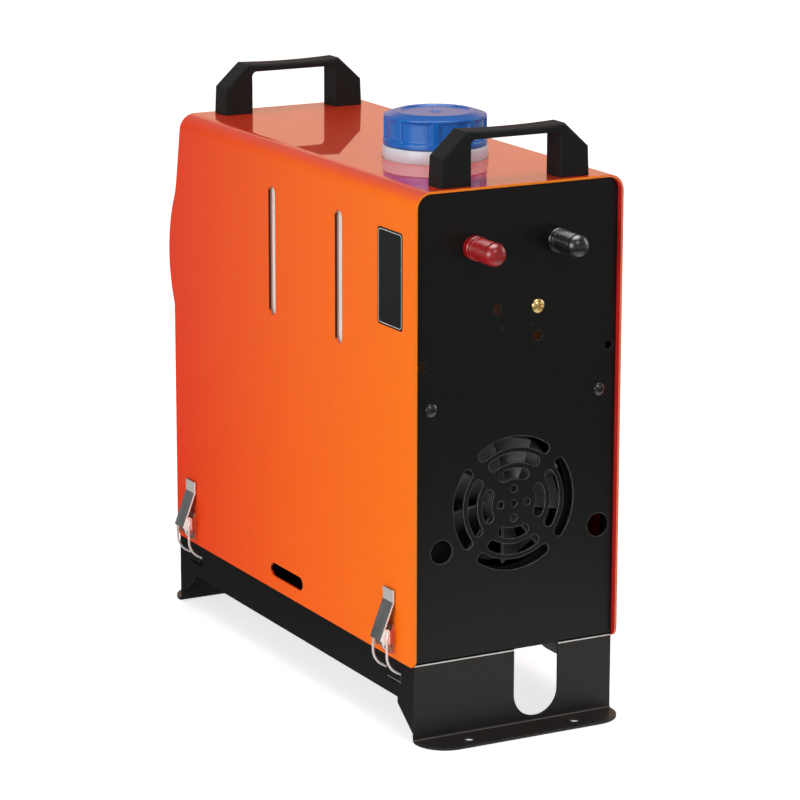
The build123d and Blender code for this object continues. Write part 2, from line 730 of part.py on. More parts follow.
def make_terminal(colour, x):
    """Insulating collar with its stud through the panel, a captive washer and the screwed cap."""
    def at(y):
        return Plane(origin=(x, front + y, terminal_z), x_dir=(1, 0, 0), z_dir=(0, -1, 0))

    washer_at = -terminal_collar_l
    cap_at = washer_at - terminal_washer_t
    nose_at = -terminal_reach
    with BuildPart() as collar:
        with BuildSketch(at(0)):
            Circle(terminal_collar_r)
            Circle(terminal_stud_r + fit, mode=Mode.SUBTRACT)
        extrude(amount=terminal_collar_l)
        with BuildSketch(at(0)):
            Circle(terminal_sleeve_r)
            Circle(terminal_stud_r + fit, mode=Mode.SUBTRACT)
        extrude(amount=-panel_sheet - terminal_sleeve_l)
        chamfer(edges().group_by(Axis.Y)[0].filter_by(GeomType.CIRCLE).sort_by(SortBy.RADIUS)[-1], 0.6)
    save(collar, f"{colour}_terminal_collar")
    with BuildPart() as washer:
        with BuildSketch(at(washer_at)):
            Circle(terminal_collar_r - 0.7)
            Circle(terminal_stud_r + 0.1, mode=Mode.SUBTRACT)
        extrude(amount=terminal_washer_t)
    save(washer, f"{colour}_terminal_washer")
    body = terminal_reach - terminal_collar_l - terminal_washer_t
    root = -body + terminal_dome
    dome = (terminal_nose_r**2 + terminal_dome**2) / (2 * terminal_dome)
    neck = terminal_cap_r - terminal_groove
    with BuildPart() as cap:
        with BuildSketch(Plane(origin=(x, front + cap_at, terminal_z), x_dir=(1, 0, 0), z_dir=(0, 0, 1))):
            with BuildLine():
                Polyline((0, 0), (terminal_rim_r, 0), (terminal_rim_r, -terminal_rim_l), (neck, -terminal_rim_l - 0.4),
                         (neck, -terminal_rim_l - 1.0), (terminal_cap_r, -terminal_rim_l - 1.4),
                         (terminal_cap_r, root + 1.0), (neck, root + 0.6), (terminal_nose_r, root))
                RadiusArc((terminal_nose_r, root), (0, -body), dome)
                Line((0, -body), (0, 0))
            make_face()
        revolve(axis=Axis((x, front, terminal_z), (0, 1, 0)))
        with BuildSketch(at(cap_at)):
            Circle(terminal_stud_r + 0.1)
        extrude(amount=terminal_reach + cap_at - 8.0 + terminal_travel, mode=Mode.SUBTRACT)
    save(cap, f"{colour}_terminal_cap")


def make_terminal_studs():
    """Threaded studs through both terminals, each with its nut behind the panel."""
    with BuildPart() as terminal_studs:
        for x in terminal_xs.values():
            back = Plane(origin=(x, front + 14, terminal_z), z_dir=(0, -1, 0))
            with BuildSketch(back):
                Circle(terminal_stud_r)
            extrude(amount=14 + terminal_reach - 9)
            with BuildSketch(back.offset(14 - panel_sheet - terminal_sleeve_l)):
                RegularPolygon(5.0, 6, major_radius=False)
            extrude(amount=-3.0)
    save(terminal_studs, "terminal_studs")


def screw_on(plane, grip, head_r, head_h, shank_r):
    """Pan-head screw standing on plane, its shank running grip into it."""
    with BuildSketch(plane) as head:
        Circle(head_r)
    extrude(head.sketch, amount=head_h, taper=18)
    with BuildSketch(plane) as shank:
        Circle(shank_r)
    extrude(shank.sketch, amount=-grip)


def make_panel_screws():
    """Four black screws that hold the tank shelf to the front panel and the rear fascia."""
    with BuildPart() as panel_screws:
        for x in (-panel_screw_x, panel_screw_x):
            screw_on(Plane(origin=(x, front, panel_screw_z), z_dir=(0, -1, 0)), 7.0, 4.1, 2.0, screw_hole_r - fit)
            screw_on(Plane(origin=(x, fascia_face, rear_screw_z), z_dir=(0, 1, 0)), 7.0, 4.1, 2.0, screw_hole_r - fit)
    save(panel_screws, "panel_screws")


def make_earth_screw():
    with BuildPart() as earth_screw:
        plane = Plane(origin=(earth_x, front, earth_z), z_dir=(0, -1, 0))
        screw_on(plane, 9.0, 4.4, 2.2, screw_hole_r - fit)
        with BuildSketch(plane.offset(2.2)):
            Rectangle(5.0, 0.9)
            Rectangle(0.9, 5.0)
        extrude(amount=-1.2, mode=Mode.SUBTRACT)
        with BuildSketch(plane.offset(-panel_sheet)):
            RegularPolygon(3.6, 6, major_radius=False)
        extrude(amount=-3.0)
    save(earth_screw, "earth_screw")


# ================================================================ fuel side

def make_tank_shelf():
    shelf_front = front + panel_sheet
    shelf_rear = fascia_face - panel_sheet
    length = shelf_rear - shelf_front
    drop = shelf_z - shelf_flange / 2
    with BuildPart() as tank_shelf:
        with Locations((0, shelf_front + length / 2, shelf_z - shelf_sheet / 2)):
            Box(2 * shelf_half, length, shelf_sheet)
        with Locations((0, shelf_front + shelf_sheet / 2, drop), (0, shelf_rear - shelf_sheet / 2, drop)):
            Box(2 * shelf_half, shelf_sheet, shelf_flange)
        with BuildSketch(across(0)):
            with Locations((-panel_screw_x, panel_screw_z), (panel_screw_x, panel_screw_z)):
                Circle(screw_hole_r)
        extrude(amount=-10, mode=Mode.SUBTRACT)
        with BuildSketch(across(case_l)):
            with Locations((-panel_screw_x, rear_screw_z), (panel_screw_x, rear_screw_z)):
                Circle(screw_hole_r)
        extrude(amount=12, mode=Mode.SUBTRACT)
        with Locations((line_x, front + pump_y, shelf_z)):
            Cylinder(line_r + 1.0, 4 * shelf_sheet, mode=Mode.SUBTRACT)
    save(tank_shelf, "tank_shelf")


def make_fuel_tank():
    y0 = front + tank_front
    centre = (0, y0 + tank_l / 2, (shelf_z + tank_top) / 2)
    height = tank_top - shelf_z
    with BuildPart() as fuel_tank:
        with Locations(centre):
            Box(2 * tank_half, tank_l, height)
        fillet(edges(), tank_corner)
        with BuildSketch(Plane.XY.offset(tank_top - tank_corner)):
            with Locations((0, front + neck_y)):
                Circle(collar_r - 2)
        extrude(amount=collar_top - tank_top + tank_corner)
        with BuildSketch(Plane.XY.offset(roof_z - cover_sheet)):
            with Locations((0, front + neck_y)):
                Circle(collar_r)
        extrude(amount=collar_top - roof_z + cover_sheet)
        rims = edges().filter_by(GeomType.CIRCLE).filter_by(lambda e: abs(e.radius - collar_r) < 0.01)
        fillet(rims, 1.6)
        with BuildSketch(Plane.XY.offset(collar_top)):
            with Locations((0, front + neck_y)):
                Circle(neck_r)
        extrude(amount=neck_top - collar_top)
        with BuildPart(mode=Mode.PRIVATE) as hollow:
            with Locations(centre):
                Box(2 * (tank_half - tank_wall), tank_l - 2 * tank_wall, height - 2 * tank_wall)
            fillet(edges(), tank_corner - tank_wall)
            with BuildSketch(Plane.XY.offset(tank_top - 2 * tank_corner)):
                with Locations((0, front + neck_y)):
                    Circle(neck_bore)
            extrude(amount=neck_top - tank_top + 2 * tank_corner)
        add(hollow.part, mode=Mode.SUBTRACT)
        for length, r in ((tank_boss, 6.0), (tank_boss + tank_spigot, nipple_r)):
            with BuildSketch(across(tank_front + tank_l)):
                with Locations((nipple_x, nipple_z)):
                    Circle(r)
            extrude(amount=-length)
        with BuildSketch(across(tank_front + tank_l + tank_boss + tank_spigot)):
            with Locations((nipple_x, nipple_z)):
                Circle(nipple_r - 0.9)
        extrude(amount=tank_boss + tank_spigot + tank_wall, mode=Mode.SUBTRACT)
    save(fuel_tank, "fuel_tank")


def make_cap_seal():
    with BuildPart() as cap_seal:
        with BuildSketch(Plane.XY.offset(neck_top)):
            with Locations((0, front + neck_y)):
                Circle(neck_r + 0.2)
                Circle(neck_bore, mode=Mode.SUBTRACT)
        extrude(amount=seal_t)
    save(cap_seal, "cap_seal")


def make_filler_cap():
    """Turned blank with a lower rim, a gripped wall, a sloping shoulder and a dished crown; then its flutes."""
    ceiling = neck_top + seal_t
    wall = cap_r - cap_step
    bore = neck_r + 2 * face_gap
    with BuildPart() as filler_cap:
        with BuildSketch(Plane(origin=(0, front + neck_y, 0), x_dir=(1, 0, 0), z_dir=(0, -1, 0))):
            with BuildLine():
                Polyline((0, ceiling), (bore, ceiling), (bore, cap_bottom), (cap_r, cap_bottom),
                         (cap_r, cap_bottom + cap_rim), (wall, cap_bottom + cap_rim + cap_step), (wall, cap_top),
                         (cap_crown_r, cap_crown), (cap_dish_r, cap_crown), (cap_dish_r - cap_dish, cap_crown - cap_dish),
                         (0, cap_crown - cap_dish), close=True)
            make_face()
            for spot, r in (((wall, cap_top), 1.4), ((cap_crown_r, cap_crown), 1.0), ((cap_r, cap_bottom), 0.6)):
                fillet(vertices().sort_by_distance(spot)[0], r)
        revolve(axis=Axis((0, front + neck_y, 0), (0, 0, 1)))
        flute_low = cap_bottom + cap_rim + cap_step
        with BuildSketch(Plane.XY.offset(flute_low)):
            with Locations((0, front + neck_y)):
                Circle(wall + 1)
                Circle(wall - cap_flute_depth, mode=Mode.SUBTRACT)
                with PolarLocations(wall, cap_lobes, start_angle=cap_turn):
                    Rectangle(6, cap_ridge, mode=Mode.SUBTRACT)
        extrude(amount=cap_top - cap_flute_end - flute_low, mode=Mode.SUBTRACT)
    save(filler_cap, "filler_cap")


def make_fuel_pump():
    with BuildPart() as fuel_pump:
        def end_on(x):
            return Plane(origin=(x, front + pump_y, pump_z), x_dir=(0, 1, 0), z_dir=(1, 0, 0))

        base = pump_half + pump_collar
        for start, length, r in ((-pump_half, 2 * pump_half, pump_r), (-base, pump_collar, 8.0),
                                 (pump_half, pump_collar, 8.0), (-pump_end, pump_end - base, nipple_r),
                                 (base, pump_end - base, line_bore)):
            with BuildSketch(end_on(start)):
                Circle(r)
            extrude(amount=length)
        with Locations((-6, front + pump_y, pump_z + pump_r + 3)):
            Box(20, 14, 10)
    save(fuel_pump, "fuel_pump")


def make_pump_saddle():
    with BuildPart() as pump_saddle:
        with Locations((0, front + pump_y, (shelf_z + pump_z) / 2)):
            Box(22, 2 * pump_r + 8, pump_z - shelf_z)
        with Locations(Location((0, front + pump_y, pump_z), (0, 90, 0))):
            Cylinder(pump_r, 40, mode=Mode.SUBTRACT)
    save(pump_saddle, "pump_saddle")


def tube(points, bends, outer, bore, sockets):
    """Round tube along straight runs and tangent arcs, bored to fit the spigot at each end."""
    start = Vector(*points[0])
    heading = Vector(*points[1]) - start
    finish = Vector(*points[-1])
    tail = Vector(*points[-2]) - finish
    with BuildLine() as route:
        FilletPolyline(*points, radius=bends)
    with BuildSketch(Plane(origin=points[0], z_dir=heading)) as section:
        Circle(outer)
    sweep(section.sketch, path=route.line)
    for origin, way, depth in ((start, heading, sockets[0]), (finish, tail, sockets[1])):
        with BuildSketch(Plane(origin=origin, z_dir=way)) as hole:
            Circle(bore)
        extrude(hole.sketch, amount=depth, mode=Mode.SUBTRACT)


def make_fuel_lines():
    wall = front + tank_front + tank_l + tank_boss
    y = front + pump_y
    pump_socket = pump_end - pump_half - pump_collar + spigot_gap
    side = nipple_x - 12
    with BuildPart() as suction_hose:
        tube([(nipple_x, wall, nipple_z), (nipple_x, y - 8, nipple_z), (side, y, pump_z),
              (-pump_half - pump_collar, y, pump_z)],
             [8, 7], hose_r, nipple_r + fit, (tank_spigot + spigot_gap, pump_socket))
    inlet = fan_x + foot_half_x + 1
    with BuildPart() as delivery_line:
        tube([(pump_half + pump_collar, y, pump_z), (line_x, y, pump_z), (line_x, y, line_z),
              (line_x, front + foot_y, line_z), (inlet, front + foot_y, line_z)],
             [10, 18, 8], line_r, line_bore + fit, (pump_socket, inlet_spigot - 1 + spigot_gap))
    save(suction_hose, "suction_hose")
    save(delivery_line, "delivery_line")


# ================================================================ heater unit

def shell_outline(inset):
    """Rounded cross-section of the heater's shells, about the fan's axis."""
    middle = (shell_low + shell_top) / 2 - fan_z
    with Locations((0, middle)):
        RectangleRounded(2 * (shell_half - inset), shell_top - shell_low - 2 * inset, shell_corner - inset)


def make_shells():
    length = shell_rear - shell_front
    with BuildPart() as shell:
        with BuildSketch(on_axis(shell_front)):
            shell_outline(0)
        extrude(amount=-length)
        with BuildSketch(on_axis(shell_front + shell_wall)):
            shell_outline(shell_wall)
        extrude(amount=-(length - 2 * shell_wall), mode=Mode.SUBTRACT)
        with BuildSketch(on_axis(shell_front)):
            Circle(inlet_r)
        extrude(amount=-shell_wall, mode=Mode.SUBTRACT)
        with BuildSketch(on_axis(shell_rear)):
            Circle(duct_r + fit)
        extrude(amount=shell_wall, mode=Mode.SUBTRACT)
        with Locations((fan_x, front + foot_y, shell_low)):
            Box(2 * (foot_half_x + face_gap), 2 * (foot_half_y + face_gap), 20, mode=Mode.SUBTRACT)
    for name, keep in (("heater_lower_shell", Keep.BOTTOM), ("heater_upper_shell", Keep.TOP)):
        with BuildPart() as half:
            add(shell.part)
            split(bisect_by=Plane.XY.offset(fan_z), keep=keep)
        save(half, name)


def make_fan_wheel():
    with BuildPart() as blade:
        for reach, chord, pitch in ((fan_hub_r - 1, 17.0, 42.0), (fan_r - 2, 24.0, 58.0)):
            plane = Plane(origin=(fan_x + reach, front + fan_front + fan_depth / 2, fan_z), x_dir=(0, 1, 0), z_dir=(1, 0, 0))
            with BuildSketch(plane):
                Rectangle(chord, 1.6, rotation=pitch)
        loft()
    hub_plane = on_axis(fan_front + fan_depth)
    axis = Axis((fan_x, 0, fan_z), (0, 1, 0))
    with BuildPart() as fan_wheel:
        with BuildSketch(hub_plane):
            Circle(fan_hub_r)
        extrude(amount=fan_depth)
        fillet(edges().group_by(Axis.Y)[0], 5)
        for turn in range(fan_blades):
            add(blade.part.rotate(axis, turn * 360 / fan_blades))
        with BuildSketch(hub_plane):
            Circle(fan_r)
            Circle(fan_r - 2.4, mode=Mode.SUBTRACT)
        extrude(amount=4)
        with BuildSketch(hub_plane):
            Circle(shaft_r)
        extrude(amount=fan_depth - 5, mode=Mode.SUBTRACT)
    save(fan_wheel, "fan_wheel")


def make_rotor():
    with BuildPart() as motor_shaft:
        with BuildSketch(on_axis(fan_front + 5)):
            Circle(shaft_r)
        extrude(amount=-(housing_rear - fan_front - 8))
    save(motor_shaft, "motor_shaft")
    back = housing_rear - 5
    with BuildPart() as air_impeller:
        with BuildSketch(on_axis(back)):
            Circle(impeller_r)
        extrude(amount=2)
        with BuildSketch(on_axis(back)):
            Circle(8)
        extrude(amount=13)
        with BuildSketch(on_axis(back - 2)):
            with PolarLocations(22, 12):
                Rectangle(22, 1.6, rotation=25)
        extrude(amount=10)
        with BuildSketch(on_axis(back)):
            Circle(shaft_r)
        extrude(amount=20, mode=Mode.SUBTRACT)
    save(air_impeller, "air_impeller")


def make_motor():
    with BuildPart() as blower_motor:
        with BuildSketch(on_axis(motor_front)):
            Circle(motor_r)
        extrude(amount=-(housing_front - motor_front))
        with BuildSketch(on_axis(motor_front)):
            Circle(8)
        extrude(amount=3)
        with BuildSketch(on_axis(motor_front - 3)):
            Circle(shaft_r + shaft_clear)
        extrude(amount=-(housing_front - motor_front + 3), mode=Mode.SUBTRACT)
    save(blower_motor, "blower_motor")
    with BuildPart() as impeller_housing:
        with BuildSketch(on_axis(housing_front)):
            Circle(housing_r)
        extrude(amount=-(housing_rear - housing_front))
        with BuildSketch(on_axis(housing_front + 3)):
            Circle(housing_r - 4)
        extrude(amount=-(housing_rear - housing_front), mode=Mode.SUBTRACT)
        with BuildSketch(on_axis(housing_front)):
            Circle(shaft_r + 1.5)
        extrude(amount=-3, mode=Mode.SUBTRACT)
    save(impeller_housing, "impeller_housing")


def make_exchanger():
    foot_top = fan_z - exchanger_r + 8
    foot_low = deck_z + gasket_t
    with BuildPart() as heat_exchanger:
        with BuildSketch(on_axis(housing_rear)):
            Circle(shell_half - shell_wall - 1)
        extrude(amount=-5)
        with BuildSketch(on_axis(housing_rear)):
            Circle(exchanger_r)
        extrude(amount=-(exchanger_rear - housing_rear))
        fillet(edges().group_by(Axis.Y)[-1], 12)
        with BuildSketch(on_axis(fin_front)):
            with PolarLocations((exchanger_r + fin_tip_r) / 2 - 1, fin_count):
                Rectangle(fin_tip_r - exchanger_r + 2, fin_t)
        extrude(amount=-(exchanger_rear - 16 - fin_front))
        with Locations((fan_x, front + foot_y, (foot_low + foot_top) / 2)):
            Box(2 * foot_half_x, 2 * foot_half_y, foot_top - foot_low)
        with BuildSketch(Plane(origin=(fan_x + foot_half_x, front + foot_y, line_z), z_dir=(1, 0, 0))):
            Circle(line_bore)
        extrude(amount=inlet_spigot)
        with BuildSketch(on_axis(housing_rear)):
            Circle(exchanger_bore)
        extrude(amount=-(exchanger_rear - housing_rear - 10), mode=Mode.SUBTRACT)
        with Locations((fan_x, front + housing_rear + plug_y, fan_z)):
            Cylinder(plug_r + fit, 60, align=(Align.CENTER, Align.CENTER, Align.MIN), mode=Mode.SUBTRACT)
        with Locations((fan_x, front + foot_y, foot_low)):
            with GridLocations(2 * foot_screw_x, 2 * foot_screw_y, 2, 2):
                Cylinder(foot_screw_r, 24, mode=Mode.SUBTRACT)
    save(heat_exchanger, "heat_exchanger")


def make_burner():
    with BuildPart() as burner:
        with BuildSketch(on_axis(housing_rear)):
            Circle(exchanger_bore - fit)
        extrude(amount=-4)
        with BuildSketch(on_axis(housing_rear)):
            Circle(burner_r)
        extrude(amount=-burner_l)
        with BuildSketch(on_axis(housing_rear + 3)):
            Circle(burner_r - 2)
        extrude(amount=-burner_l, mode=Mode.SUBTRACT)
        with Locations((fan_x, front + housing_rear + plug_y, fan_z + 10)):
            Cylinder(plug_r + fit, 60, align=(Align.CENTER, Align.CENTER, Align.MIN), mode=Mode.SUBTRACT)
    save(burner, "burner")
    with BuildPart() as glow_plug:
        for z, length, r in ((fan_z + 17, 26, plug_r), (fan_z + exchanger_r, 7, 5.5), (fan_z + exchanger_r + 7, 6, 2.0)):
            with BuildSketch(Plane.XY.offset(z)):
                with Locations((fan_x, front + housing_rear + plug_y)):
                    Circle(r)
            extrude(amount=length)
    save(glow_plug, "glow_plug")


def make_foot_parts():
    holes = [(fan_x - stub_x, front + foot_y), (fan_x + stub_x, front + foot_y)]
    with BuildPart() as foot_gasket:
        with BuildSketch(Plane.XY.offset(deck_z)):
            with Locations((fan_x, front + foot_y)):
                RectangleRounded(2 * foot_half_x + 4, 2 * foot_half_y + 4, 4)
                with GridLocations(2 * foot_screw_x, 2 * foot_screw_y, 2, 2):
                    Circle(foot_screw_r + fit, mode=Mode.SUBTRACT)
            with Locations(*holes):
                Circle(stub_neck_r + face_gap, mode=Mode.SUBTRACT)
        extrude(amount=gasket_t)
    save(foot_gasket, "foot_gasket")
    with BuildPart() as pipe_stubs:
        for low, high, r in ((stub_low, stub_shoulder, stub_r), (stub_shoulder, deck_z + gasket_t, stub_neck_r)):
            with BuildSketch(Plane.XY.offset(low)):
                with Locations(*holes):
                    Circle(r)
            extrude(amount=high - low)
        with BuildSketch(Plane.XY.offset(stub_low)):
            with Locations(*holes):
                Circle(stub_neck_r - stub_wall)
        extrude(amount=deck_z + gasket_t - stub_low, mode=Mode.SUBTRACT)
    save(pipe_stubs, "pipe_stubs")
    with BuildPart() as foot_screws:
        with Locations((fan_x, front + foot_y, deck_z - tray_sheet)):
            with GridLocations(2 * foot_screw_x, 2 * foot_screw_y, 2, 2):
                Cylinder(foot_screw_r - fit, tray_sheet + gasket_t + 11, align=(Align.CENTER, Align.CENTER, Align.MIN))
                Cylinder(5.2, 4.0, align=(Align.CENTER, Align.CENTER, Align.MAX))
    save(foot_screws, "foot_screws")


# ================================================================ outlet

def make_outlet():
    duct_end = case_l - fascia_recess - panel_sheet - 14
    with BuildPart() as outlet_duct:
        with BuildSketch(on_axis(shell_rear - shell_wall)):
            Circle(duct_r)
            Circle(duct_r - duct_wall, mode=Mode.SUBTRACT)
        extrude(amount=-(duct_end - shell_rear + shell_wall))
        with BuildSketch(on_axis(shell_rear)):
            Circle(duct_r + 6)
            Circle(duct_r - duct_wall, mode=Mode.SUBTRACT)
        extrude(amount=-2)
        with BuildSketch(on_axis(duct_end)):
            Circle(sleeve_r)
            Circle(duct_r - duct_wall, mode=Mode.SUBTRACT)
        extrude(amount=2)
    save(outlet_duct, "outlet_duct")
    face = case_l - fascia_recess
    inner = louvre_r + face_gap
    with BuildPart() as outlet_ring:
        with BuildSketch(on_axis(face + ring_t)):
            Circle(ring_r)
            Circle(inner, mode=Mode.SUBTRACT)
        extrude(amount=ring_t)
        fillet(edges().group_by(Axis.Y)[-1].filter_by(lambda e: e.radius > sleeve_r), 1.5)
        with BuildSketch(on_axis(face)):
            Circle(sleeve_r)
            Circle(inner, mode=Mode.SUBTRACT)
        extrude(amount=face - duct_end)
        with BuildSketch(on_axis(face + ring_t)):
            with PolarLocations(sleeve_r + 3.5, 4, start_angle=45):
                Circle(1.5)
        extrude(amount=ring_t, mode=Mode.SUBTRACT)
    save(outlet_ring, "outlet_ring")
    with BuildPart() as outlet_screws:
        for turn in (45, 135, 225, 315):
            x = fan_x + (sleeve_r + 3.5) * cos(radians(turn))
            z = fan_z + (sleeve_r + 3.5) * sin(radians(turn))
            screw_on(Plane(origin=(x, front + face + ring_t, z), z_dir=(0, 1, 0)), ring_t, 2.8, 1.6, 1.5 - fit)
    save(outlet_screws, "outlet_screws")
    start = face + ring_t + 6 - louvre_depth
    with BuildPart() as outlet_louvre:
        with BuildSketch(on_axis(start)):
            Circle(louvre_r)
            Circle(louvre_r - louvre_wall, mode=Mode.SUBTRACT)
        extrude(amount=-louvre_depth)
        fillet(edges().group_by(Axis.Y)[-1], 0.8)
        pitch = 2 * (louvre_r - louvre_wall) / vane_count
        for n in range(vane_count - 1):
            z = (n - (vane_count - 2) / 2) * pitch
            half = sqrt((louvre_r - louvre_wall) ** 2 - (abs(z) + 2.5) ** 2) + 0.6
            with Locations(Location((fan_x, front + start + louvre_depth / 2, fan_z + z), (vane_tilt, 0, 0))):
                Box(2 * half, louvre_depth - 3, 1.6)
        with Locations((fan_x, front + start + louvre_depth / 2, fan_z)):
            Box(2.2, louvre_depth - 4, 2 * (louvre_r - louvre_wall) + 0.6)
    save(outlet_louvre, "outlet_louvre")


# ================================================================ controller

def key_spots():
    """Centres of the four keys on the controller's plane."""
    half = key_pitch / 2
    return {"upper_left": (key_x - half, half), "upper_right": (key_x + half, half),
            "lower_left": (key_x - half, -half), "lower_right": (key_x + half, -half)}


def make_controller():
    face = controller_plane()
    wall_back = ctrl_proud - ctrl_wall
    with BuildPart() as controller_case:
        with BuildSketch(face.offset(-ctrl_depth)):
            RectangleRounded(2 * ctrl_box_half_x, 2 * ctrl_box_half_z, 2)
        extrude(amount=ctrl_depth)
        with BuildSketch(face):
            RectangleRounded(2 * ctrl_half_x, 2 * ctrl_half_z, 5)
        extrude(amount=ctrl_proud, taper=20)
        with BuildSketch(face.offset(-ctrl_depth)):
            Rectangle(2 * (ctrl_box_half_x - ctrl_wall), 2 * (ctrl_box_half_z - ctrl_wall))
        extrude(amount=ctrl_depth + wall_back, mode=Mode.SUBTRACT)
        with BuildSketch(face.offset(ctrl_proud)):
            with Locations((lens_x, 0)):
                RectangleRounded(2 * lens_half_x, 2 * lens_half_z, 2)
            with Locations(*key_spots().values()):
                Circle(key_r + key_gap)
        extrude(amount=-ctrl_wall, mode=Mode.SUBTRACT)
    save(controller_case, "controller_case")
    with BuildPart() as display_lens:
        with BuildSketch(face.offset(wall_back)):
            with Locations((lens_x, 0)):
                RectangleRounded(2 * (lens_half_x - fit), 2 * (lens_half_z - fit), 2 - fit)
        extrude(amount=ctrl_wall - 0.4)
    save(display_lens, "display_lens")
    board_back = -7.6
    board_t = 1.6
    with BuildPart() as display_board:
        with BuildSketch(face.offset(board_back)):
            Rectangle(2 * (ctrl_box_half_x - ctrl_wall - fit), 2 * (ctrl_box_half_z - ctrl_wall - fit))
        extrude(amount=board_t)
        with BuildSketch(face.offset(board_back + board_t)):
            with Locations((lens_x, 0)):
                Rectangle(2 * lens_half_x + 2, 2 * lens_half_z + 2)
        extrude(amount=wall_back - board_back - board_t)
        with BuildSketch(face.offset(board_back + board_t)):
            with Locations(*key_spots().values()):
                Circle(2.0)
        extrude(amount=wall_back - key_foot - key_travel - 0.1 - board_back - board_t)
    save(display_board, "display_board")
    for name, (x, y) in key_spots().items():
        with BuildPart() as key:
            with BuildSketch(face.offset(wall_back - key_foot)):
                with Locations((x, y)):
                    Circle(key_r)
            extrude(amount=key_foot + ctrl_wall + key_proud)
            with BuildSketch(face.offset(wall_back - face_gap - 1.0)):
                with Locations((x, y)):
                    Circle(key_r + 1.1)
            extrude(amount=1.0)
        save(key, f"key_{name}")


os.makedirs("parts", exist_ok=True)
make_base_tray()
make_front_panel()
make_rear_fascia()
make_cover()
for handle_name in handle_ys:
    make_handle(handle_name)
make_handle_screws()
for end_name, latch_y in latch_ys.items():
    for side_name, latch_side in latch_sides.items():
        place = end_name + side_name
        make_latch_lever(f"latch_lever_{place}", latch_side, latch_y)
        make_latch_bail(f"latch_bail_{place}", latch_side, latch_y)
make_latch_bases()
make_latch_pins()
make_latch_rivets()
for terminal_colour, terminal_x in terminal_xs.items():
    make_terminal(terminal_colour, terminal_x)
make_terminal_studs()
make_panel_screws()
make_earth_screw()
make_tank_shelf()
make_fuel_tank()
make_cap_seal()
make_filler_cap()
make_fuel_pump()
make_pump_saddle()
make_fuel_lines()
make_shells()
make_fan_wheel()
make_rotor()
make_motor()
make_exchanger()
make_burner()
make_foot_parts()
make_outlet()
make_controller()
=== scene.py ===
# %% [markdown]
# # A diesel air heater in its carrying case
# The heater is a box of bent and painted sheet: a black tray and two black end panels, with an
# orange cover latched over them. The measured model, with every moving part, comes ready made.
# This lesson dresses it: it gives each part the finish of the real one, and makes new surfaces
# with numpy where the finish needs a smoother or finer shape than the measured solids have.

# %% Load the measured model
import json
import math

import bmesh
import bpy
import numpy as np
from mathutils import Matrix, Vector


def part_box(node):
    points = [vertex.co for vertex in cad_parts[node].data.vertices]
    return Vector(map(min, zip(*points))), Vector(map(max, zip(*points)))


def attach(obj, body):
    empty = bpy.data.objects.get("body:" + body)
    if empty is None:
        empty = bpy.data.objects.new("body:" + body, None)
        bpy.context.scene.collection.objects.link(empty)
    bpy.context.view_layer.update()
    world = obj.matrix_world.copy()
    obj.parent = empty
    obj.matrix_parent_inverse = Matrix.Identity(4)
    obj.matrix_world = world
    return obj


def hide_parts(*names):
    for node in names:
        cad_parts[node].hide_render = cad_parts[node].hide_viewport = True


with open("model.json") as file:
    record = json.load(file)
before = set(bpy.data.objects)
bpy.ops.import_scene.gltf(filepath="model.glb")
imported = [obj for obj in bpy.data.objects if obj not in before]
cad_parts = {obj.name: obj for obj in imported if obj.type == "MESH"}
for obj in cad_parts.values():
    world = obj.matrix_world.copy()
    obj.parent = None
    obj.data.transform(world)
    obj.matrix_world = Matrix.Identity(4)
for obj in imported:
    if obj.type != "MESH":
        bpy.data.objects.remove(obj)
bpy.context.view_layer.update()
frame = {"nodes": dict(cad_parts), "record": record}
nodes = frame["nodes"]

# %% [markdown]
# The heater's own lengths are written in millimetres, as on a drawing, and turned into Blender's
# metres by one factor; the studio round it, and places inside a shader, are laid out in metres.
# The few sizes named here are the ones that several pieces share.

# %% Shared sizes
MM = 0.001
case_half = 71.8                              # outer face of the cover's sides
roof_z = 342.3                                # top of the cover
front_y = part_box("front_panel")[0][1] / MM    # face of the front panel
upright_y = front_y + 338.0                   # the cover's rear edge where it stands upright
neck_y = front_y + 103.0                      # middle of the filler neck
fan_x, fan_z = -1.0, 143.5                    # the fan's hub
LATCHES = ("fl", "fr", "rl", "rr")            # front and rear, left and right
print("front panel at y", round(front_y, 2), "mm")

# %% [markdown]
# ## Camera
# The camera stands in front of the grille end, to the left and above. A long lens keeps the
# case's edges nearly parallel. Its place and angles were worked out from the straight edges of
# the case in the photograph. Turning by yaw, then tilting down by pitch, then rolling a hair
# gives the same picture.

# %% Camera
focal_px = 3545.4         # focal length in pixels of an 800 pixel frame
frame_px = 800.0
sensor_mm = 36.0
yaw, pitch, roll = 0.493455, 0.240972, 0.001667
camera_at = np.array([-1050.72, front_y - 1804.95, 721.13]) * MM

camera_data = bpy.data.cameras.new("studio_camera")
camera_data.sensor_width = sensor_mm
camera_data.lens = focal_px / frame_px * sensor_mm
camera_data.clip_end = 50.0
camera = bpy.data.objects.new("studio_camera", camera_data)
bpy.context.scene.collection.objects.link(camera)
turn = Matrix.Rotation(-yaw, 4, "Z") @ Matrix.Rotation(math.pi / 2 - pitch, 4, "X")
turn = turn @ Matrix.Rotation(roll, 4, "Z")
camera.matrix_world = Matrix.Translation(Vector(camera_at)) @ turn
bpy.context.scene.camera = camera
print("lens %.1f mm" % camera_data.lens)

# %% [markdown]
# ## Shader nodes
# A shader is a tree of small nodes, and building one by hand repeats the same steps: make a node,
# set its fields, and give each input a fixed value or another node's output. The helpers below do
# these steps, so that a finish reads like a recipe: *spread* turns one number into another range,
# *blend* mixes two colours by a share, and *calculate* does one sum.

# %% Node helpers


def feed(tree, node, inputs):
    """Gives each named input of a node a fixed value, or joins it to another node's output."""
    for socket, value in inputs.items():
        if isinstance(value, bpy.types.NodeSocket):
            tree.links.new(value, node.inputs[socket])
        else:
            node.inputs[socket].default_value = value


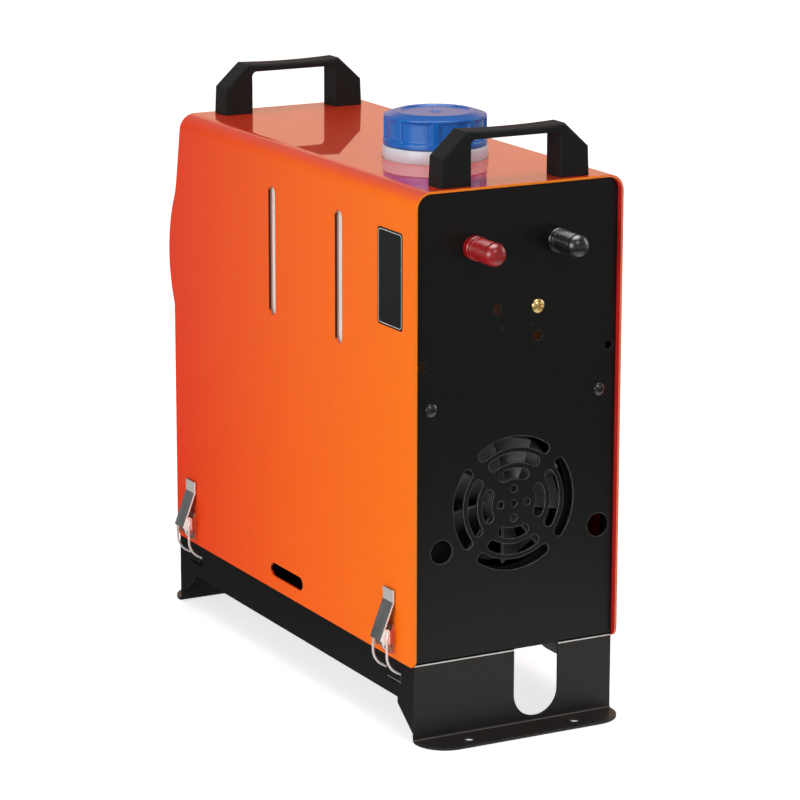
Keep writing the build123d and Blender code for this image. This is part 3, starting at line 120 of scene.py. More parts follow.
def add_node(tree, kind, inputs=None, **fields):
    """Adds a shader node to a tree, sets its fields, then feeds its inputs."""
    node = tree.nodes.new("ShaderNode" + kind)
    for field, value in fields.items():
        setattr(node, field, value)
    feed(tree, node, inputs or {})
    return node


def spread(tree, value, low, high, start=0.0, end=1.0, curve="LINEAR"):
    """start where value is at low, end where it is at high, and in between along the curve."""
    ends = {"Value": value, "From Min": low, "From Max": high, "To Min": start, "To Max": end}
    return add_node(tree, "MapRange", ends, interpolation_type=curve).outputs["Result"]


def blend(tree, first, second, share):
    """Mix of two colours: the first where share is 0, the second where it is 1."""
    colours = {"A": first, "B": second, "Factor": share}
    return add_node(tree, "Mix", data_type="RGBA", inputs=colours).outputs["Result"]


def calculate(tree, operation, *values):
    """Result of one sum; each value is a number or another node's output."""
    return add_node(tree, "Math", dict(enumerate(values)), operation=operation).outputs[0]


def parts_of(tree, direction_or_point):
    """The X, Y and Z outputs of a vector."""
    return add_node(tree, "SeparateXYZ", {0: direction_or_point}).outputs


def distance(tree, spot, point):
    """How far a spot is from a fixed point."""
    return add_node(tree, "VectorMath", {0: spot, 1: point}, operation="DISTANCE").outputs["Value"]


def by_ray(tree, ray, shade, otherwise):
    """One shader for the kind of ray that Light Path names, and another for all other rays."""
    path = add_node(tree, "LightPath")
    mix = add_node(tree, "MixShader", {0: path.outputs[ray], 1: otherwise, 2: shade})
    return mix.outputs[0]


def new_material(name):
    """A new material, its node tree and its Principled shader."""
    material = bpy.data.materials.new(name)
    material.use_nodes = True
    tree = material.node_tree
    return material, tree, tree.nodes["Principled BSDF"]


# %% [markdown]
# ## Studio
# The heater stands on a pale floor in a white room. A large soft lamp low on the left lights the
# orange side. An amber card far behind the heater is what the roof mirrors: seen so flat, the roof
# shows that card with the handles and the cap standing in front of it. Little light comes from
# above, so the paint under that reflection stays deep. The room's white shows fully only to the
# camera, so the ground is white without adding light to the object. In mirrors the room is grey,
# with a bright ceiling that puts the window-like glint on round caps.

# %% Room and lamps
scene = bpy.context.scene
scene.view_settings.view_transform = "Standard"


def make_room(fill_level=0.3, mirrored_level=0.3, ceiling_level=5.0, ceiling_edge=(32, 27)):
    """A white room: full white to the camera, a weak fill on things, and grey in mirrors, with a
    bright ceiling that fades out between the two angles from straight up, in degrees."""
    world = bpy.data.worlds.new("studio_room")
    world.use_nodes = True
    tree = world.node_tree
    tree.nodes.clear()
    height = parts_of(tree, add_node(tree, "TexCoord").outputs["Generated"])["Z"]
    outer, inner = (math.cos(math.radians(angle)) for angle in ceiling_edge)
    mirrored = spread(tree, height, outer, inner, mirrored_level, ceiling_level)
    seen_shade, fill_shade, mirrored_shade = (
        add_node(tree, "Background", {"Color": (1, 1, 1, 1), "Strength": level}).outputs[0]
        for level in (1.0, fill_level, mirrored))
    unseen = by_ray(tree, "Is Glossy Ray", mirrored_shade, fill_shade)
    add_node(tree, "OutputWorld", {"Surface": by_ray(tree, "Is Camera Ray", seen_shade, unseen)})
    scene.world = world


def soft_lamp(name, at, aim, size, watts, colour=(1, 1, 1)):
    """A rectangular area lamp at one point, facing another."""
    data = bpy.data.lights.new(name, "AREA")
    data.shape = "RECTANGLE"
    data.size, data.size_y = size
    data.energy = watts
    data.color = colour
    lamp = bpy.data.objects.new(name, data)
    lamp.location = at
    lamp.visible_camera = False
    lamp.rotation_euler = (Vector(aim) - Vector(at)).to_track_quat("-Z", "Y").to_euler()
    scene.collection.objects.link(lamp)


amber = (1.0, 0.44, 0.15)
make_room()
soft_lamp("left_softbox", (-2.4, -1.0, 0.5), (0, 0, 0.2), (1.8, 1.5), 43)
soft_lamp("front_softbox", (-0.2, -2.6, 1.7), (0, 0, 0.25), (1.0, 0.8), 9)
soft_lamp("right_softbox", (2.3, -0.4, 0.9), (0, 0, 0.2), (1.2, 1.2), 9)
soft_lamp("top_softbox", (0.0, -0.2, 2.2), (0, 0, 0.3), (1.1, 1.1), 10)
soft_lamp("back_card", (1.3, 2.4, 1.0), (0, 0, 0.35), (3.2, 1.1), 6.5, amber)
print(len(bpy.data.lights), "lamps")

# %% [markdown]
# The floor's paint does three jobs. To the camera it glows just enough to be white, and still
# keeps the heater's shadow. In mirrors it shows a pool of light in front of the grille and a paler
# stretch far off, which lift both ends of the black panel. To everything else it is plain paint,
# with a soft glow beside the orange side that stands for light thrown back, strongest low down.

# %% Floor


def make_floor_paint(white_glow=0.68, pool_at=(0.1, -0.27, 0.0), bounce_at=(-0.22, -0.04, 0.0)):
    """Pale paint whose glows fall off with the distance from a point, in metres."""
    material, tree, paint = new_material("floor_paint")
    feed(tree, paint, {"Base Color": (0.8, 0.8, 0.8, 1), "Roughness": 0.7})
    on_floor = add_node(tree, "TexCoord").outputs["Object"]

    def glow(strength):
        return add_node(tree, "Emission", {"Strength": strength}).outputs[0]

    def paint_and(glowing):
        return add_node(tree, "AddShader", {0: paint.outputs[0], 1: glowing}).outputs[0]

    from_pool = distance(tree, on_floor, pool_at)
    pool = spread(tree, from_pool, 0.06, 0.42, 1.0, 0.13, "SMOOTHSTEP")
    far_off = spread(tree, from_pool, 0.85, 1.4, 0.0, 0.4)
    bounce = spread(tree, distance(tree, on_floor, bounce_at), 0.15, 0.45, 0.3, 0.0)
    mirrored = glow(calculate(tree, "ADD", pool, far_off))
    unseen = by_ray(tree, "Is Glossy Ray", mirrored, paint_and(glow(bounce)))
    seen = by_ray(tree, "Is Camera Ray", paint_and(glow(white_glow)), unseen)
    feed(tree, tree.nodes["Material Output"], {"Surface": seen})
    return material


reach = 6.0
floor_corners = [(-reach, -reach, 0), (reach, -reach, 0), (reach, reach, 0), (-reach, reach, 0)]
floor_mesh = bpy.data.meshes.new("studio_floor")
floor_mesh.from_pydata(floor_corners, [], [(0, 1, 2, 3)])
floor_mesh.materials.append(make_floor_paint())
floor = bpy.data.objects.new("studio_floor", floor_mesh)
floor.location.z = -0.5 * MM
scene.collection.objects.link(floor)
print("floor", 2 * reach, "m wide")

# %% [markdown]
# ## Effects that finishes share
# Three small node groups are built once and placed in each finish with its own numbers. They
# measure in metres on Object coordinates, so a grain keeps its real size on every part.
# *grain* is fine noise for powder coat, moulded skin and cast metal. *streaks* stretches noise
# along one direction, for brushed steel. *soft_edge* rounds the look of sharp edges by averaging
# the normals near them, and finds those edges so that a finish can paint a highlight on them.

# %% Node groups


def new_group(name, inputs, outputs):
    """Empty node group. inputs gives each number's value, outputs each result's kind of socket."""
    group = bpy.data.node_groups.new(name, "ShaderNodeTree")
    for label, value in inputs.items():
        socket = group.interface.new_socket(label, in_out="INPUT", socket_type="NodeSocketFloat")
        socket.default_value = value
    for label, kind in outputs.items():
        group.interface.new_socket(label, in_out="OUTPUT", socket_type="NodeSocket" + kind)
    return group, group.nodes.new("NodeGroupInput").outputs, group.nodes.new("NodeGroupOutput")


def make_grain_group():
    """Two layers of noise: a fine one of the given size, and patches eight times as wide."""
    group, ins, outs = new_group(
        "grain", {"Size mm": 1.0, "Detail": 3.0}, {"Height": "Float", "Patches": "Float"})
    spot = add_node(group, "TexCoord").outputs["Object"]
    per_metre = calculate(group, "DIVIDE", 1000.0, ins["Size mm"])
    wider = calculate(group, "MULTIPLY", per_metre, 1 / 8)
    fine = {"Vector": spot, "Scale": per_metre, "Detail": ins["Detail"]}
    wide = {"Vector": spot, "Scale": wider, "Detail": 2.0}
    feed(group, outs, {"Height": add_node(group, "TexNoise", fine).outputs["Fac"],
                       "Patches": add_node(group, "TexNoise", wide).outputs["Fac"]})
    return group


def make_streak_group():
    """Noise stretched thirty times along Z, as left by a brushing belt."""
    group, ins, outs = new_group("streaks", {"Size mm": 0.5}, {"Height": "Float"})
    spot = add_node(group, "TexCoord").outputs["Object"]
    squeezed = add_node(group, "Mapping", {"Vector": spot, "Scale": (1.0, 1.0, 1 / 30)})
    per_metre = calculate(group, "DIVIDE", 1000.0, ins["Size mm"])
    noise = {"Vector": squeezed.outputs[0], "Scale": per_metre, "Detail": 4.0}
    feed(group, outs, {"Height": add_node(group, "TexNoise", noise).outputs["Fac"]})
    return group


def make_soft_edge_group():
    """Rounded normals near sharp edges, with a bump on top, and a mask that is 1 on the edges."""
    group, ins, outs = new_group(
        "soft_edge", {"Radius mm": 0.6, "Height": 0.5, "Bump mm": 0.02},
        {"Normal": "Vector", "Edge": "Float"})
    radius = calculate(group, "MULTIPLY", ins["Radius mm"], MM)
    rounded = add_node(group, "Bevel", {"Radius": radius}, samples=6).outputs["Normal"]
    deep = calculate(group, "MULTIPLY", ins["Bump mm"], MM)
    bump = add_node(group, "Bump", {"Strength": 1.0, "Distance": deep, "Height": ins["Height"],
                                    "Normal": rounded})
    true_normal = add_node(group, "NewGeometry").outputs["Normal"]
    alike = add_node(group, "VectorMath", {0: rounded, 1: true_normal}, operation="DOT_PRODUCT")
    feed(group, outs, {"Normal": bump.outputs["Normal"],
                       "Edge": spread(group, alike.outputs["Value"], 0.99, 0.75)})
    return group


grain_group = make_grain_group()
streak_group = make_streak_group()
soft_edge_group = make_soft_edge_group()
print("node groups:", [group.name for group in bpy.data.node_groups])

# %% [markdown]
# ## Finishes
# Every finish is a Principled shader. Its fixed numbers sit on the shader itself; colour,
# roughness and normal come from the groups above, so no surface is one flat value. The helper
# below wires the usual case: a colour that drifts between two shades, a roughness that drifts
# with it, a fine bump and softened edges, which may carry a painted highlight.

# %% Finish helper


def spaced(values):
    """The same values under names with spaces for underscores, as sockets are named."""
    return {name.replace("_", " "): value for name, value in values.items()}


def place(tree, group, **inputs):
    """Puts a node group into a tree and feeds its inputs."""
    node = add_node(tree, "Group", node_tree=group)
    feed(tree, node, spaced(inputs))
    return node.outputs


def finish(name, light, dark, rough, grain_mm=1.0, bump_mm=0.02, edge_mm=0.5, painted_edge_highlight=None,
           brushed=False, **fixed):
    """Principled material: light and dark are its shades, rough the roughnesses they go with."""
    material, tree, shader = new_material(name)
    feed(tree, shader, spaced(fixed))
    pattern = place(tree, streak_group if brushed else grain_group, Size_mm=grain_mm)
    drift = pattern["Height" if brushed else "Patches"]
    edges = place(tree, soft_edge_group, Radius_mm=edge_mm, Bump_mm=bump_mm,
                  Height=pattern["Height"])
    colour = blend(tree, (*dark, 1), (*light, 1), drift)
    # Painted highlight: the colour lightens towards the given edge colour where the soft_edge mask
    # finds an edge.
    if painted_edge_highlight:
        colour = blend(tree, colour, (*painted_edge_highlight, 1), edges["Edge"])
    feed(tree, shader, {"Base Color": colour, "Roughness": spread(tree, drift, 0, 1, *rough),
                        "Normal": edges["Normal"]})
    return material


# %% [markdown]
# Powder coat is fine orange peel over sheet metal. Moulded parts are duller and rougher. Steel
# and brass take Metallic 1 and a streaky roughness. Clear red and black plastic are dark inside
# with a sharp skin, which Coat gives. The tank's plastic is milky: light goes in and comes out
# again, so it gets some Subsurface, and its sides a little Emission for the daylight in them.

# %% The finishes
finishes = {
    "black_paint": finish(
        "black_powder_coat", (0.0075, 0.0072, 0.0067), (0.005, 0.0048, 0.0044), (0.3, 0.4),
        grain_mm=0.8, bump_mm=0.03, edge_mm=0.6, painted_edge_highlight=(0.13, 0.125, 0.12),
        Specular_IOR_Level=0.25),
    "tray_paint": finish(
        "black_tray_coat", (0.021, 0.0182, 0.0165), (0.014, 0.012, 0.011), (0.34, 0.44),
        grain_mm=0.8, bump_mm=0.03, edge_mm=0.6, painted_edge_highlight=(0.05, 0.046, 0.042),
        Specular_IOR_Level=0.3),
    "black_plastic": finish(
        "black_moulding", (0.013, 0.013, 0.013), (0.009, 0.009, 0.009), (0.6, 0.74),
        grain_mm=0.5, bump_mm=0.03, edge_mm=0.9, painted_edge_highlight=(0.025, 0.025, 0.025),
        Specular_IOR_Level=0.14),
    "stainless": finish(
        "brushed_stainless", (0.62, 0.61, 0.58), (0.3, 0.3, 0.29), (0.2, 0.4),
        grain_mm=0.5, bump_mm=0.01, edge_mm=0.35, painted_edge_highlight=(0.95, 0.94, 0.9), brushed=True,
        Metallic=1.0),
    "zinc_steel": finish(
        "zinc_plated_steel", (0.58, 0.58, 0.57), (0.44, 0.44, 0.45), (0.3, 0.45),
        grain_mm=2.0, bump_mm=0.01, edge_mm=0.4, Metallic=1.0),
    "black_screw": finish(
        "black_screw_steel", (0.014, 0.014, 0.014), (0.008, 0.008, 0.008), (0.14, 0.22),
        grain_mm=0.6, bump_mm=0.005, edge_mm=0.3, Coat_Weight=0.7, Coat_Roughness=0.08),
    "brass": finish(
        "yellow_passivated_brass", (0.95, 0.72, 0.32), (0.75, 0.5, 0.18), (0.22, 0.34),
        grain_mm=0.8, bump_mm=0.01, edge_mm=0.3, Metallic=1.0),
    "red_plastic": finish(
        "clear_red_plastic", (0.4, 0.006, 0.009), (0.22, 0.002, 0.005), (0.26, 0.34),
        grain_mm=1.2, bump_mm=0.006, edge_mm=0.3, Coat_Weight=0.5, Coat_Roughness=0.2),
    "black_gloss_plastic": finish(
        "clear_black_plastic", (0.008, 0.0075, 0.007), (0.004, 0.004, 0.004), (0.24, 0.32),
        grain_mm=1.2, bump_mm=0.006, edge_mm=0.3, Coat_Weight=0.75, Coat_Roughness=0.2),
    # Painted light: the fan's grey is lightened to stand for the light that reaches it inside the
    # case.
    "fan_plastic": finish(
        "fan_moulding_painted_light", (0.1, 0.095, 0.09), (0.07, 0.066, 0.062), (0.3, 0.4),
        grain_mm=0.8, bump_mm=0.01, edge_mm=0.4, painted_edge_highlight=(0.5, 0.48, 0.46)),
    "white_plastic": finish(
        "milky_tank_plastic", (0.9, 0.87, 0.81), (0.68, 0.64, 0.58), (0.3, 0.42),
        grain_mm=5.0, bump_mm=0.9, edge_mm=0.8, Subsurface_Weight=0.25, Emission_Strength=0.13),
    "neck_plastic": finish(
        "milky_neck_plastic", (0.7, 0.78, 0.86), (0.5, 0.57, 0.64), (0.26, 0.36),
        grain_mm=5.0, bump_mm=0.2, edge_mm=0.8),
    "blue_plastic": finish(
        "blue_cap_plastic", (0.0015, 0.15, 0.58), (0.001, 0.11, 0.47), (0.2, 0.28),
        grain_mm=3.0, bump_mm=0.02, edge_mm=0.7, painted_edge_highlight=(0.05, 0.33, 0.85),
        Specular_IOR_Level=0.4, Coat_Weight=0.1, Coat_Roughness=0.1),
    "latch_wire": finish(
        "plated_wire", (0.9, 0.89, 0.86), (0.75, 0.74, 0.71), (0.25, 0.35),
        grain_mm=2.0, bump_mm=0.005, edge_mm=0.2, Metallic=0.35),
    # Painted reflection: the plate's red-orange stands for the orange cover mirrored in its steel.
    "latch_plate": finish(
        "latch_plate_painted_reflection", (0.82, 0.27, 0.17), (0.6, 0.12, 0.06), (0.3, 0.4),
        grain_mm=3.0, bump_mm=0.01, edge_mm=0.3, Metallic=0.5),
    "rubber": finish(
        "black_rubber", (0.03, 0.03, 0.03), (0.02, 0.02, 0.02), (0.6, 0.75),
        grain_mm=0.6, bump_mm=0.03, edge_mm=0.4),
    "fuel_hose": finish(
        "fuel_hose_rubber", (0.035, 0.034, 0.033), (0.022, 0.022, 0.022), (0.5, 0.62),
        grain_mm=0.5, bump_mm=0.03, edge_mm=0.4),
    "nylon_line": finish(
        "green_nylon_line", (0.03, 0.16, 0.09), (0.02, 0.1, 0.06), (0.2, 0.3),
        grain_mm=2.0, bump_mm=0.01, edge_mm=0.4, Coat_Weight=0.3),
    "cast_aluminium": finish(
        "cast_aluminium", (0.6, 0.6, 0.6), (0.4, 0.4, 0.41), (0.45, 0.62),
        grain_mm=0.9, bump_mm=0.05, edge_mm=0.6, Metallic=1.0),
    "heat_steel": finish(
        "heat_stained_steel", (0.5, 0.44, 0.36), (0.3, 0.26, 0.25), (0.32, 0.5),
        grain_mm=3.0, bump_mm=0.02, edge_mm=0.5, Metallic=1.0),
    "gasket": finish(
        "pressed_gasket", (0.3, 0.29, 0.27), (0.18, 0.18, 0.17), (0.75, 0.9),
        grain_mm=0.6, bump_mm=0.06, edge_mm=0.3),
    "foil": finish(
        "aluminium_duct", (0.72, 0.72, 0.72), (0.5, 0.5, 0.5), (0.25, 0.4),
        grain_mm=1.6, bump_mm=0.06, edge_mm=0.4, Metallic=1.0),
    "board": finish(
        "display_glass_film", (0.2, 0.25, 0.22), (0.14, 0.18, 0.16), (0.2, 0.3),
        grain_mm=4.0, bump_mm=0.004, edge_mm=0.3),
    "key_rubber": finish(
        "silicone_key", (0.12, 0.12, 0.125), (0.08, 0.08, 0.085), (0.5, 0.6),
        grain_mm=0.5, bump_mm=0.015, edge_mm=0.7),
    "lens": finish(
        "smoked_lens", (0.05, 0.06, 0.06), (0.035, 0.045, 0.045), (0.05, 0.1),
        grain_mm=5.0, bump_mm=0.001, edge_mm=0.2, Alpha=0.45, Coat_Weight=0.5),
}
print(len(finishes), "finishes")

# %% [markdown]
# The cover's enamel is the finish that makes the picture, so it gets a material of its own. The
# orange is hot towards the grille end and drifts to red-orange towards the outlet end, as the
# photograph shows: painted shade, for the light falling off along the side. The level roof is
# painted a deeper red, also as shade. Over it lies a clear, very smooth coat with the faint
# ripple of sprayed paint, which is what blurs the reflections on the roof. The front cut edge
# carries a painted highlight on the left and painted shade on the right; the inner walls and the
# narrow cut edges of the slots are painted dark as shade: each is picked out by the direction
# that a face looks in.

# %% Orange enamel
# Painted shade: the orange darkens to red-orange from the grille end to the outlet end, as the
# light falls off along the side.
grille_end, outlet_end = (0.97, 0.18, 0.003, 1), (0.79, 0.042, 0.006, 1)
between, between_at = (0.92, 0.125, 0.005, 1), 0.45
# Painted shade: the level roof is a deeper red, as little light comes from above.
roof_painted_shade = (0.86, 0.045, 0.008, 1)
# Front cut edge: a painted highlight on the left, painted shade with reddish thrown-back light on
# the right.
left_rim_painted_highlight, right_rim_painted_shade = (1.0, 0.25, 0.015, 1), (0.9, 0.2, 0.1, 1)
# Painted shade: the slots' narrow cut edges, near black.
slot_edge_painted_shade = (0.06, 0.008, 0.004, 1)
# Painted shade: the cover's inner walls, dark red.
painted_shade_inside = (0.5, 0.014, 0.012, 1)


def make_enamel():
    """Orange that darkens towards red with Y as painted shade, under a coat that is thick on the
    level roof and thin on the sides; masks from place and direction lay painted shade and painted
    highlights over it."""
    material, tree, shader = new_material("orange_enamel")
    coords = add_node(tree, "TexCoord").outputs
    spot, facing = parts_of(tree, coords["Object"]), parts_of(tree, coords["Normal"])
    peel = place(tree, grain_group, Size_mm=1.4)

    along = spread(tree, spot["Y"], front_y * MM, upright_y * MM)
    drift = add_node(tree, "ValToRGB", {"Fac": along})
    ramp = drift.color_ramp.elements
    ramp[0].color, ramp[1].color = grille_end, outlet_end
    ramp.new(between_at).color = between
    level = spread(tree, peel["Patches"], 0, 1, 0.97, 1.03)
    patchy = {"Color": drift.outputs["Color"], "Value": level}
    orange_with_painted_shade = add_node(tree, "HueSaturation", patchy).outputs["Color"]

    level_top = spread(tree, facing["Z"], 0.3, 0.95, 0.03, 1.0)
    outside = blend(tree, orange_with_painted_shade, roof_painted_shade, level_top)
    front_rim_painted_light = blend(tree, left_rim_painted_highlight, right_rim_painted_shade, spread(tree, spot["X"], 0.05, 0.07))
    behind_front = calculate(tree, "GREATER_THAN", spot["Y"], (front_y + 5) * MM)
    edge_light_and_shade = blend(tree, front_rim_painted_light, slot_edge_painted_shade, behind_front)
    looks_forward = calculate(tree, "LESS_THAN", facing["Y"], -0.9)
    sheet = blend(tree, outside, edge_light_and_shade, looks_forward)
    towards_middle = calculate(tree, "MULTIPLY", facing["X"], spot["X"])
    inside = calculate(tree, "LESS_THAN", towards_middle, -0.04)

    ripple = place(tree, soft_edge_group, Radius_mm=0.6, Bump_mm=0.004, Height=peel["Height"])
    feed(tree, shader, {
        "Base Color": blend(tree, sheet, painted_shade_inside, inside),
        "Roughness": spread(tree, peel["Patches"], 0, 1, 0.38, 0.46),
        "Specular IOR Level": 0.12, "Coat Weight": level_top, "Coat Roughness": 0.02,
        "Coat IOR": 1.6, "Normal": ripple["Normal"]})
    return material


finishes["orange_paint"] = make_enamel()
print("enamel has", len(finishes["orange_paint"].node_tree.nodes), "nodes")

# %% [markdown]
# Four finishes follow the shape more closely. On the front panel a painted highlight traces the
# cut edges of the grille in pale lines; elsewhere the edges stay dark. The tray's skirts are
# painted darker than its legs as shade, and are rougher. The tank's sides, which the upright
# slots show, glow faintly.

# %% Panel paint, tank plastic and skirt paint
# Painted highlight: pale lines on the grille's cut edges, full near the hub.
grille_highlight_reach = (0.072, 0.066)    # metres from the hub where the pale lines begin and are full


def facing_parts(tree):
    """The direction that a face looks in, and how squarely it looks left or right, 0 to 1."""
    facing = parts_of(tree, add_node(tree, "TexCoord").outputs["Normal"])
    return facing, calculate(tree, "ABSOLUTE", facing["X"])


def make_panel_paint():
    """Black paint whose painted edge highlight counts fully near the fan's hub and a quarter
    elsewhere.
    """
    material = finishes["black_paint"].copy()
    material.name = "black_grille_coat"
    tree = material.node_tree
    rim = next(node for node in tree.nodes if node.type == "MIX" and node.inputs["Factor"].links
               and node.inputs["Factor"].links[0].from_socket.name == "Edge")
    edge = rim.inputs["Factor"].links[0].from_socket
    spot = add_node(tree, "TexCoord").outputs["Object"]
    from_hub = distance(tree, spot, (fan_x * MM, front_y * MM, fan_z * MM))
    near = spread(tree, from_hub, *grille_highlight_reach, 0.25, 1.0)
    feed(tree, rim, {"B": (0.32, 0.31, 0.3, 1), "Factor": calculate(tree, "MULTIPLY", edge, near)})
    return material


def light_tank_sides():
    """Lets the milky plastic glow where a face looks sideways; elsewhere its glow is black."""
    tree = finishes["white_plastic"].node_tree
    sideways = facing_parts(tree)[1]
    glow = blend(tree, (0, 0, 0, 1), (1.0, 0.84, 0.72, 1), spread(tree, sideways, 0.9, 1.0))
    feed(tree, tree.nodes["Principled BSDF"], {"Emission Color": glow})


def make_painted_shade_on_skirts():
    """Tray paint that grows darker, as painted shade, and rougher the more squarely a face looks
    sideways.
    """
    material = finishes["tray_paint"].copy()
    material.name = "black_painted_shade_skirt"
    tree = material.node_tree
    shader = tree.nodes["Principled BSDF"]
    colour = shader.inputs["Base Color"].links[0].from_socket
    rough = shader.inputs["Roughness"].links[0].from_socket
    sideways = facing_parts(tree)[1]
    feed(tree, shader, {
        "Base Color": blend(tree, colour, (0.0015, 0.0014, 0.0013, 1), sideways),
        "Roughness": calculate(tree, "MULTIPLY_ADD", sideways, 0.4, rough)})
    return material


light_tank_sides()
finishes["grille_paint"] = make_panel_paint()
finishes["painted_shade_on_skirts"] = make_painted_shade_on_skirts()
print("panel and skirt paint made from", finishes["black_paint"].name, finishes["tray_paint"].name)

# %% [markdown]
# The latches, the fourth, are plated steel: their flat tab scatters light and looks pale, their
# forward-looking cut edges carry a near-white painted highlight, and the slanted face mirrors the
# dark room in cloudy patches. A mask lowers Metallic where the metal is dull.

# %% Latch steel
dark_cloud, light_cloud = (0.16, 0.17, 0.18, 1), (0.5, 0.51, 0.51, 1)
# Painted highlight: forward-looking cut edges are near white.
dull_tab, forward_edge_painted_highlight = (0.52, 0.5, 0.47, 1), (1.0, 1.0, 0.98, 1)


def make_latch_steel():
    """Plated steel: Metallic falls to 0.1 where a face looks straight out or forwards, faces that
    look forwards carry a near-white painted highlight, and cloudy patches darken the rest."""
    material, tree, shader = new_material("latch_steel")
    facing, sideways = facing_parts(tree)
    forward = spread(tree, facing["Y"], -0.7, -0.9)
    dull = calculate(tree, "MAXIMUM", spread(tree, sideways, 0.95, 0.99), forward)
    patches = place(tree, grain_group, Size_mm=1.1)
    clouds = blend(tree, dark_cloud, light_cloud, patches["Patches"])
    pale = blend(tree, dull_tab, forward_edge_painted_highlight, forward)
    soft = place(tree, soft_edge_group, Radius_mm=0.3, Bump_mm=0.01, Height=patches["Height"])
    feed(tree, shader, {
        "Base Color": blend(tree, clouds, pale, dull),
        "Metallic": spread(tree, dull, 0, 1, 1.0, 0.1),
        "Roughness": spread(tree, patches["Patches"], 0, 1, 0.22, 0.4),
        "Normal": soft["Normal"]})
    return material


finishes["latch_steel"] = make_latch_steel()
print("latch steel made")

# %% [markdown]
# The record names a slot for each node. Going through that list gives every measured part its
# finish in a few lines; a handful of parts have a finish of their own.

# %% Dress the measured parts
own_finish = {"base_tray": "painted_shade_on_skirts", "front_panel": "grille_paint",
              "latch_bases": "latch_plate", "fan_wheel": "fan_plastic"}
own_finish.update({f"latch_lever_{end}": "latch_steel" for end in LATCHES})
own_finish.update({f"latch_bail_{end}": "latch_wire" for end in LATCHES})
for entry in frame["record"]["subparts"]:
    part = nodes[entry["node"]]
    part.data.materials.clear()
    part.data.materials.append(finishes[own_finish.get(entry["node"], entry["material_slot"])])
print("dressed", len(nodes), "parts,", len(own_finish), "with a finish of their own")

# %% [markdown]
# ## Surfaces worked out with numpy
# A curved sheet, a turned cap or a bent wire is a grid of points: one parameter runs along a
# profile, the other carries it. The first helper turns such a grid into a mesh in one step, and
# joins its last column to the first, since every piece here is closed round. Two short ones give
# the angles round a circle and the place of a measured part.

# %% Grid helper
weld_within = 1e-6        # metres: points of a pole that are closer than this become one


def grid_piece(name, points, material, smooth_angle=35, body="heater"):
    """Mesh from an array of points with shape (rows, columns, 3), in millimetres; quads join
    neighbours, and the last column joins the first.

    Points that fall together at a pole are merged, and faces are turned so that they enclose a
    positive volume.
    """
    rows, columns = points.shape[:2]
    index = np.arange(rows * columns).reshape(rows, columns)
    index = np.hstack([index, index[:, :1]])
    quads = np.stack([index[:-1, :-1], index[:-1, 1:], index[1:, 1:], index[1:, :-1]], axis=-1)
    quads = quads.reshape(-1, 4)
    mesh = bpy.data.meshes.new(name)
    mesh.vertices.add(rows * columns)
    mesh.vertices.foreach_set("co", (points.reshape(-1, 3) * MM).ravel())
    mesh.loops.add(quads.size)
    mesh.loops.foreach_set("vertex_index", quads.ravel().astype(np.int32))
    mesh.polygons.add(len(quads))
    mesh.polygons.foreach_set("loop_start", np.arange(0, quads.size, 4, dtype=np.int32))
    mesh.update(calc_edges=True)
    shape = bmesh.new()
    shape.from_mesh(mesh)
    bmesh.ops.remove_doubles(shape, verts=shape.verts, dist=weld_within)
    if shape.calc_volume(signed=True) < 0:
        bmesh.ops.reverse_faces(shape, faces=shape.faces)
    shape.to_mesh(mesh)
    shape.free()
    piece = bpy.data.objects.new(name, mesh)
    scene.collection.objects.link(piece)
    mesh.materials.append(material)
    mesh.shade_smooth()
    mesh.set_sharp_from_angle(angle=math.radians(smooth_angle))
    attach(piece, body)
    return piece


def full_turn(count):
    """That many angles round a circle, as one row."""
    return np.linspace(0, 2 * math.pi, count, endpoint=False)[None, :]


def middle_of(node):
    """The middle of a node's box, in millimetres, and its lowest and highest corners."""
    low, high = np.array(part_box(node)) / MM
    return (low + high) / 2, low, high


# %% [markdown]
# Most small parts here were turned or moulded round an axis, so one more helper carries a profile
# round. The profile starts as a few corner points; it is sampled evenly by length and blurred a
# little, which rounds its corners as a mould would. A part may also change its radius as it goes
# round or along, which gives flutes and ribs.

# %% Turned pieces


def soft_profile(corners, step, round_mm):
    """Points along straight runs between corners, evenly by length, each averaged over round_mm
    with its neighbours so that the corners round."""
    corners = np.asarray(corners, float)
    runs = np.hypot(*np.diff(corners, axis=0).T)
    length = np.concatenate([[0], np.cumsum(runs)])
    at = np.linspace(0, length[-1], int(length[-1] / step) + 2)
    line = np.stack([np.interp(at, length, corners[:, i]) for i in (0, 1)], axis=1)
    reach = max(1, int(round_mm / step))
    weights = np.hanning(2 * reach + 3)[1:-1]
    weights /= weights.sum()
    before, after = 2 * line[:1] - line[reach:0:-1], 2 * line[-1:] - line[-2:-reach - 2:-1]
    padded = np.concatenate([before, line, after])
    return np.stack([np.convolve(padded[:, i], weights, "valid") for i in (0, 1)], axis=1)


def turned(name, profile, centre, axis, material, turns=96, shape=None, body="heater",
           smooth_angle=40):
    """Surface of revolution: each point is the centre, plus its height along the axis, plus its
    radius times (cosine along one side direction and sine along the other).

    profile gives (radius, height) pairs; shape(radius, height, angle) may change the radius.
    """
    radius, height = np.maximum(profile[:, :1], 0), profile[:, 1:]
    angle = full_turn(turns)
    if shape:
        radius = shape(radius, height, angle)
    along, side_a, side_b = {"z": ((0, 0, 1), (1, 0, 0), (0, 1, 0)),
                             "y": ((0, 1, 0), (1, 0, 0), (0, 0, 1))}[axis]
    points = (np.asarray(centre, float) + (height + 0 * angle)[..., None] * np.asarray(along)
              + (radius * np.cos(angle))[..., None] * np.asarray(side_a)
              + (radius * np.sin(angle))[..., None] * np.asarray(side_b))
    return grid_piece(name, points, material, smooth_angle, body)


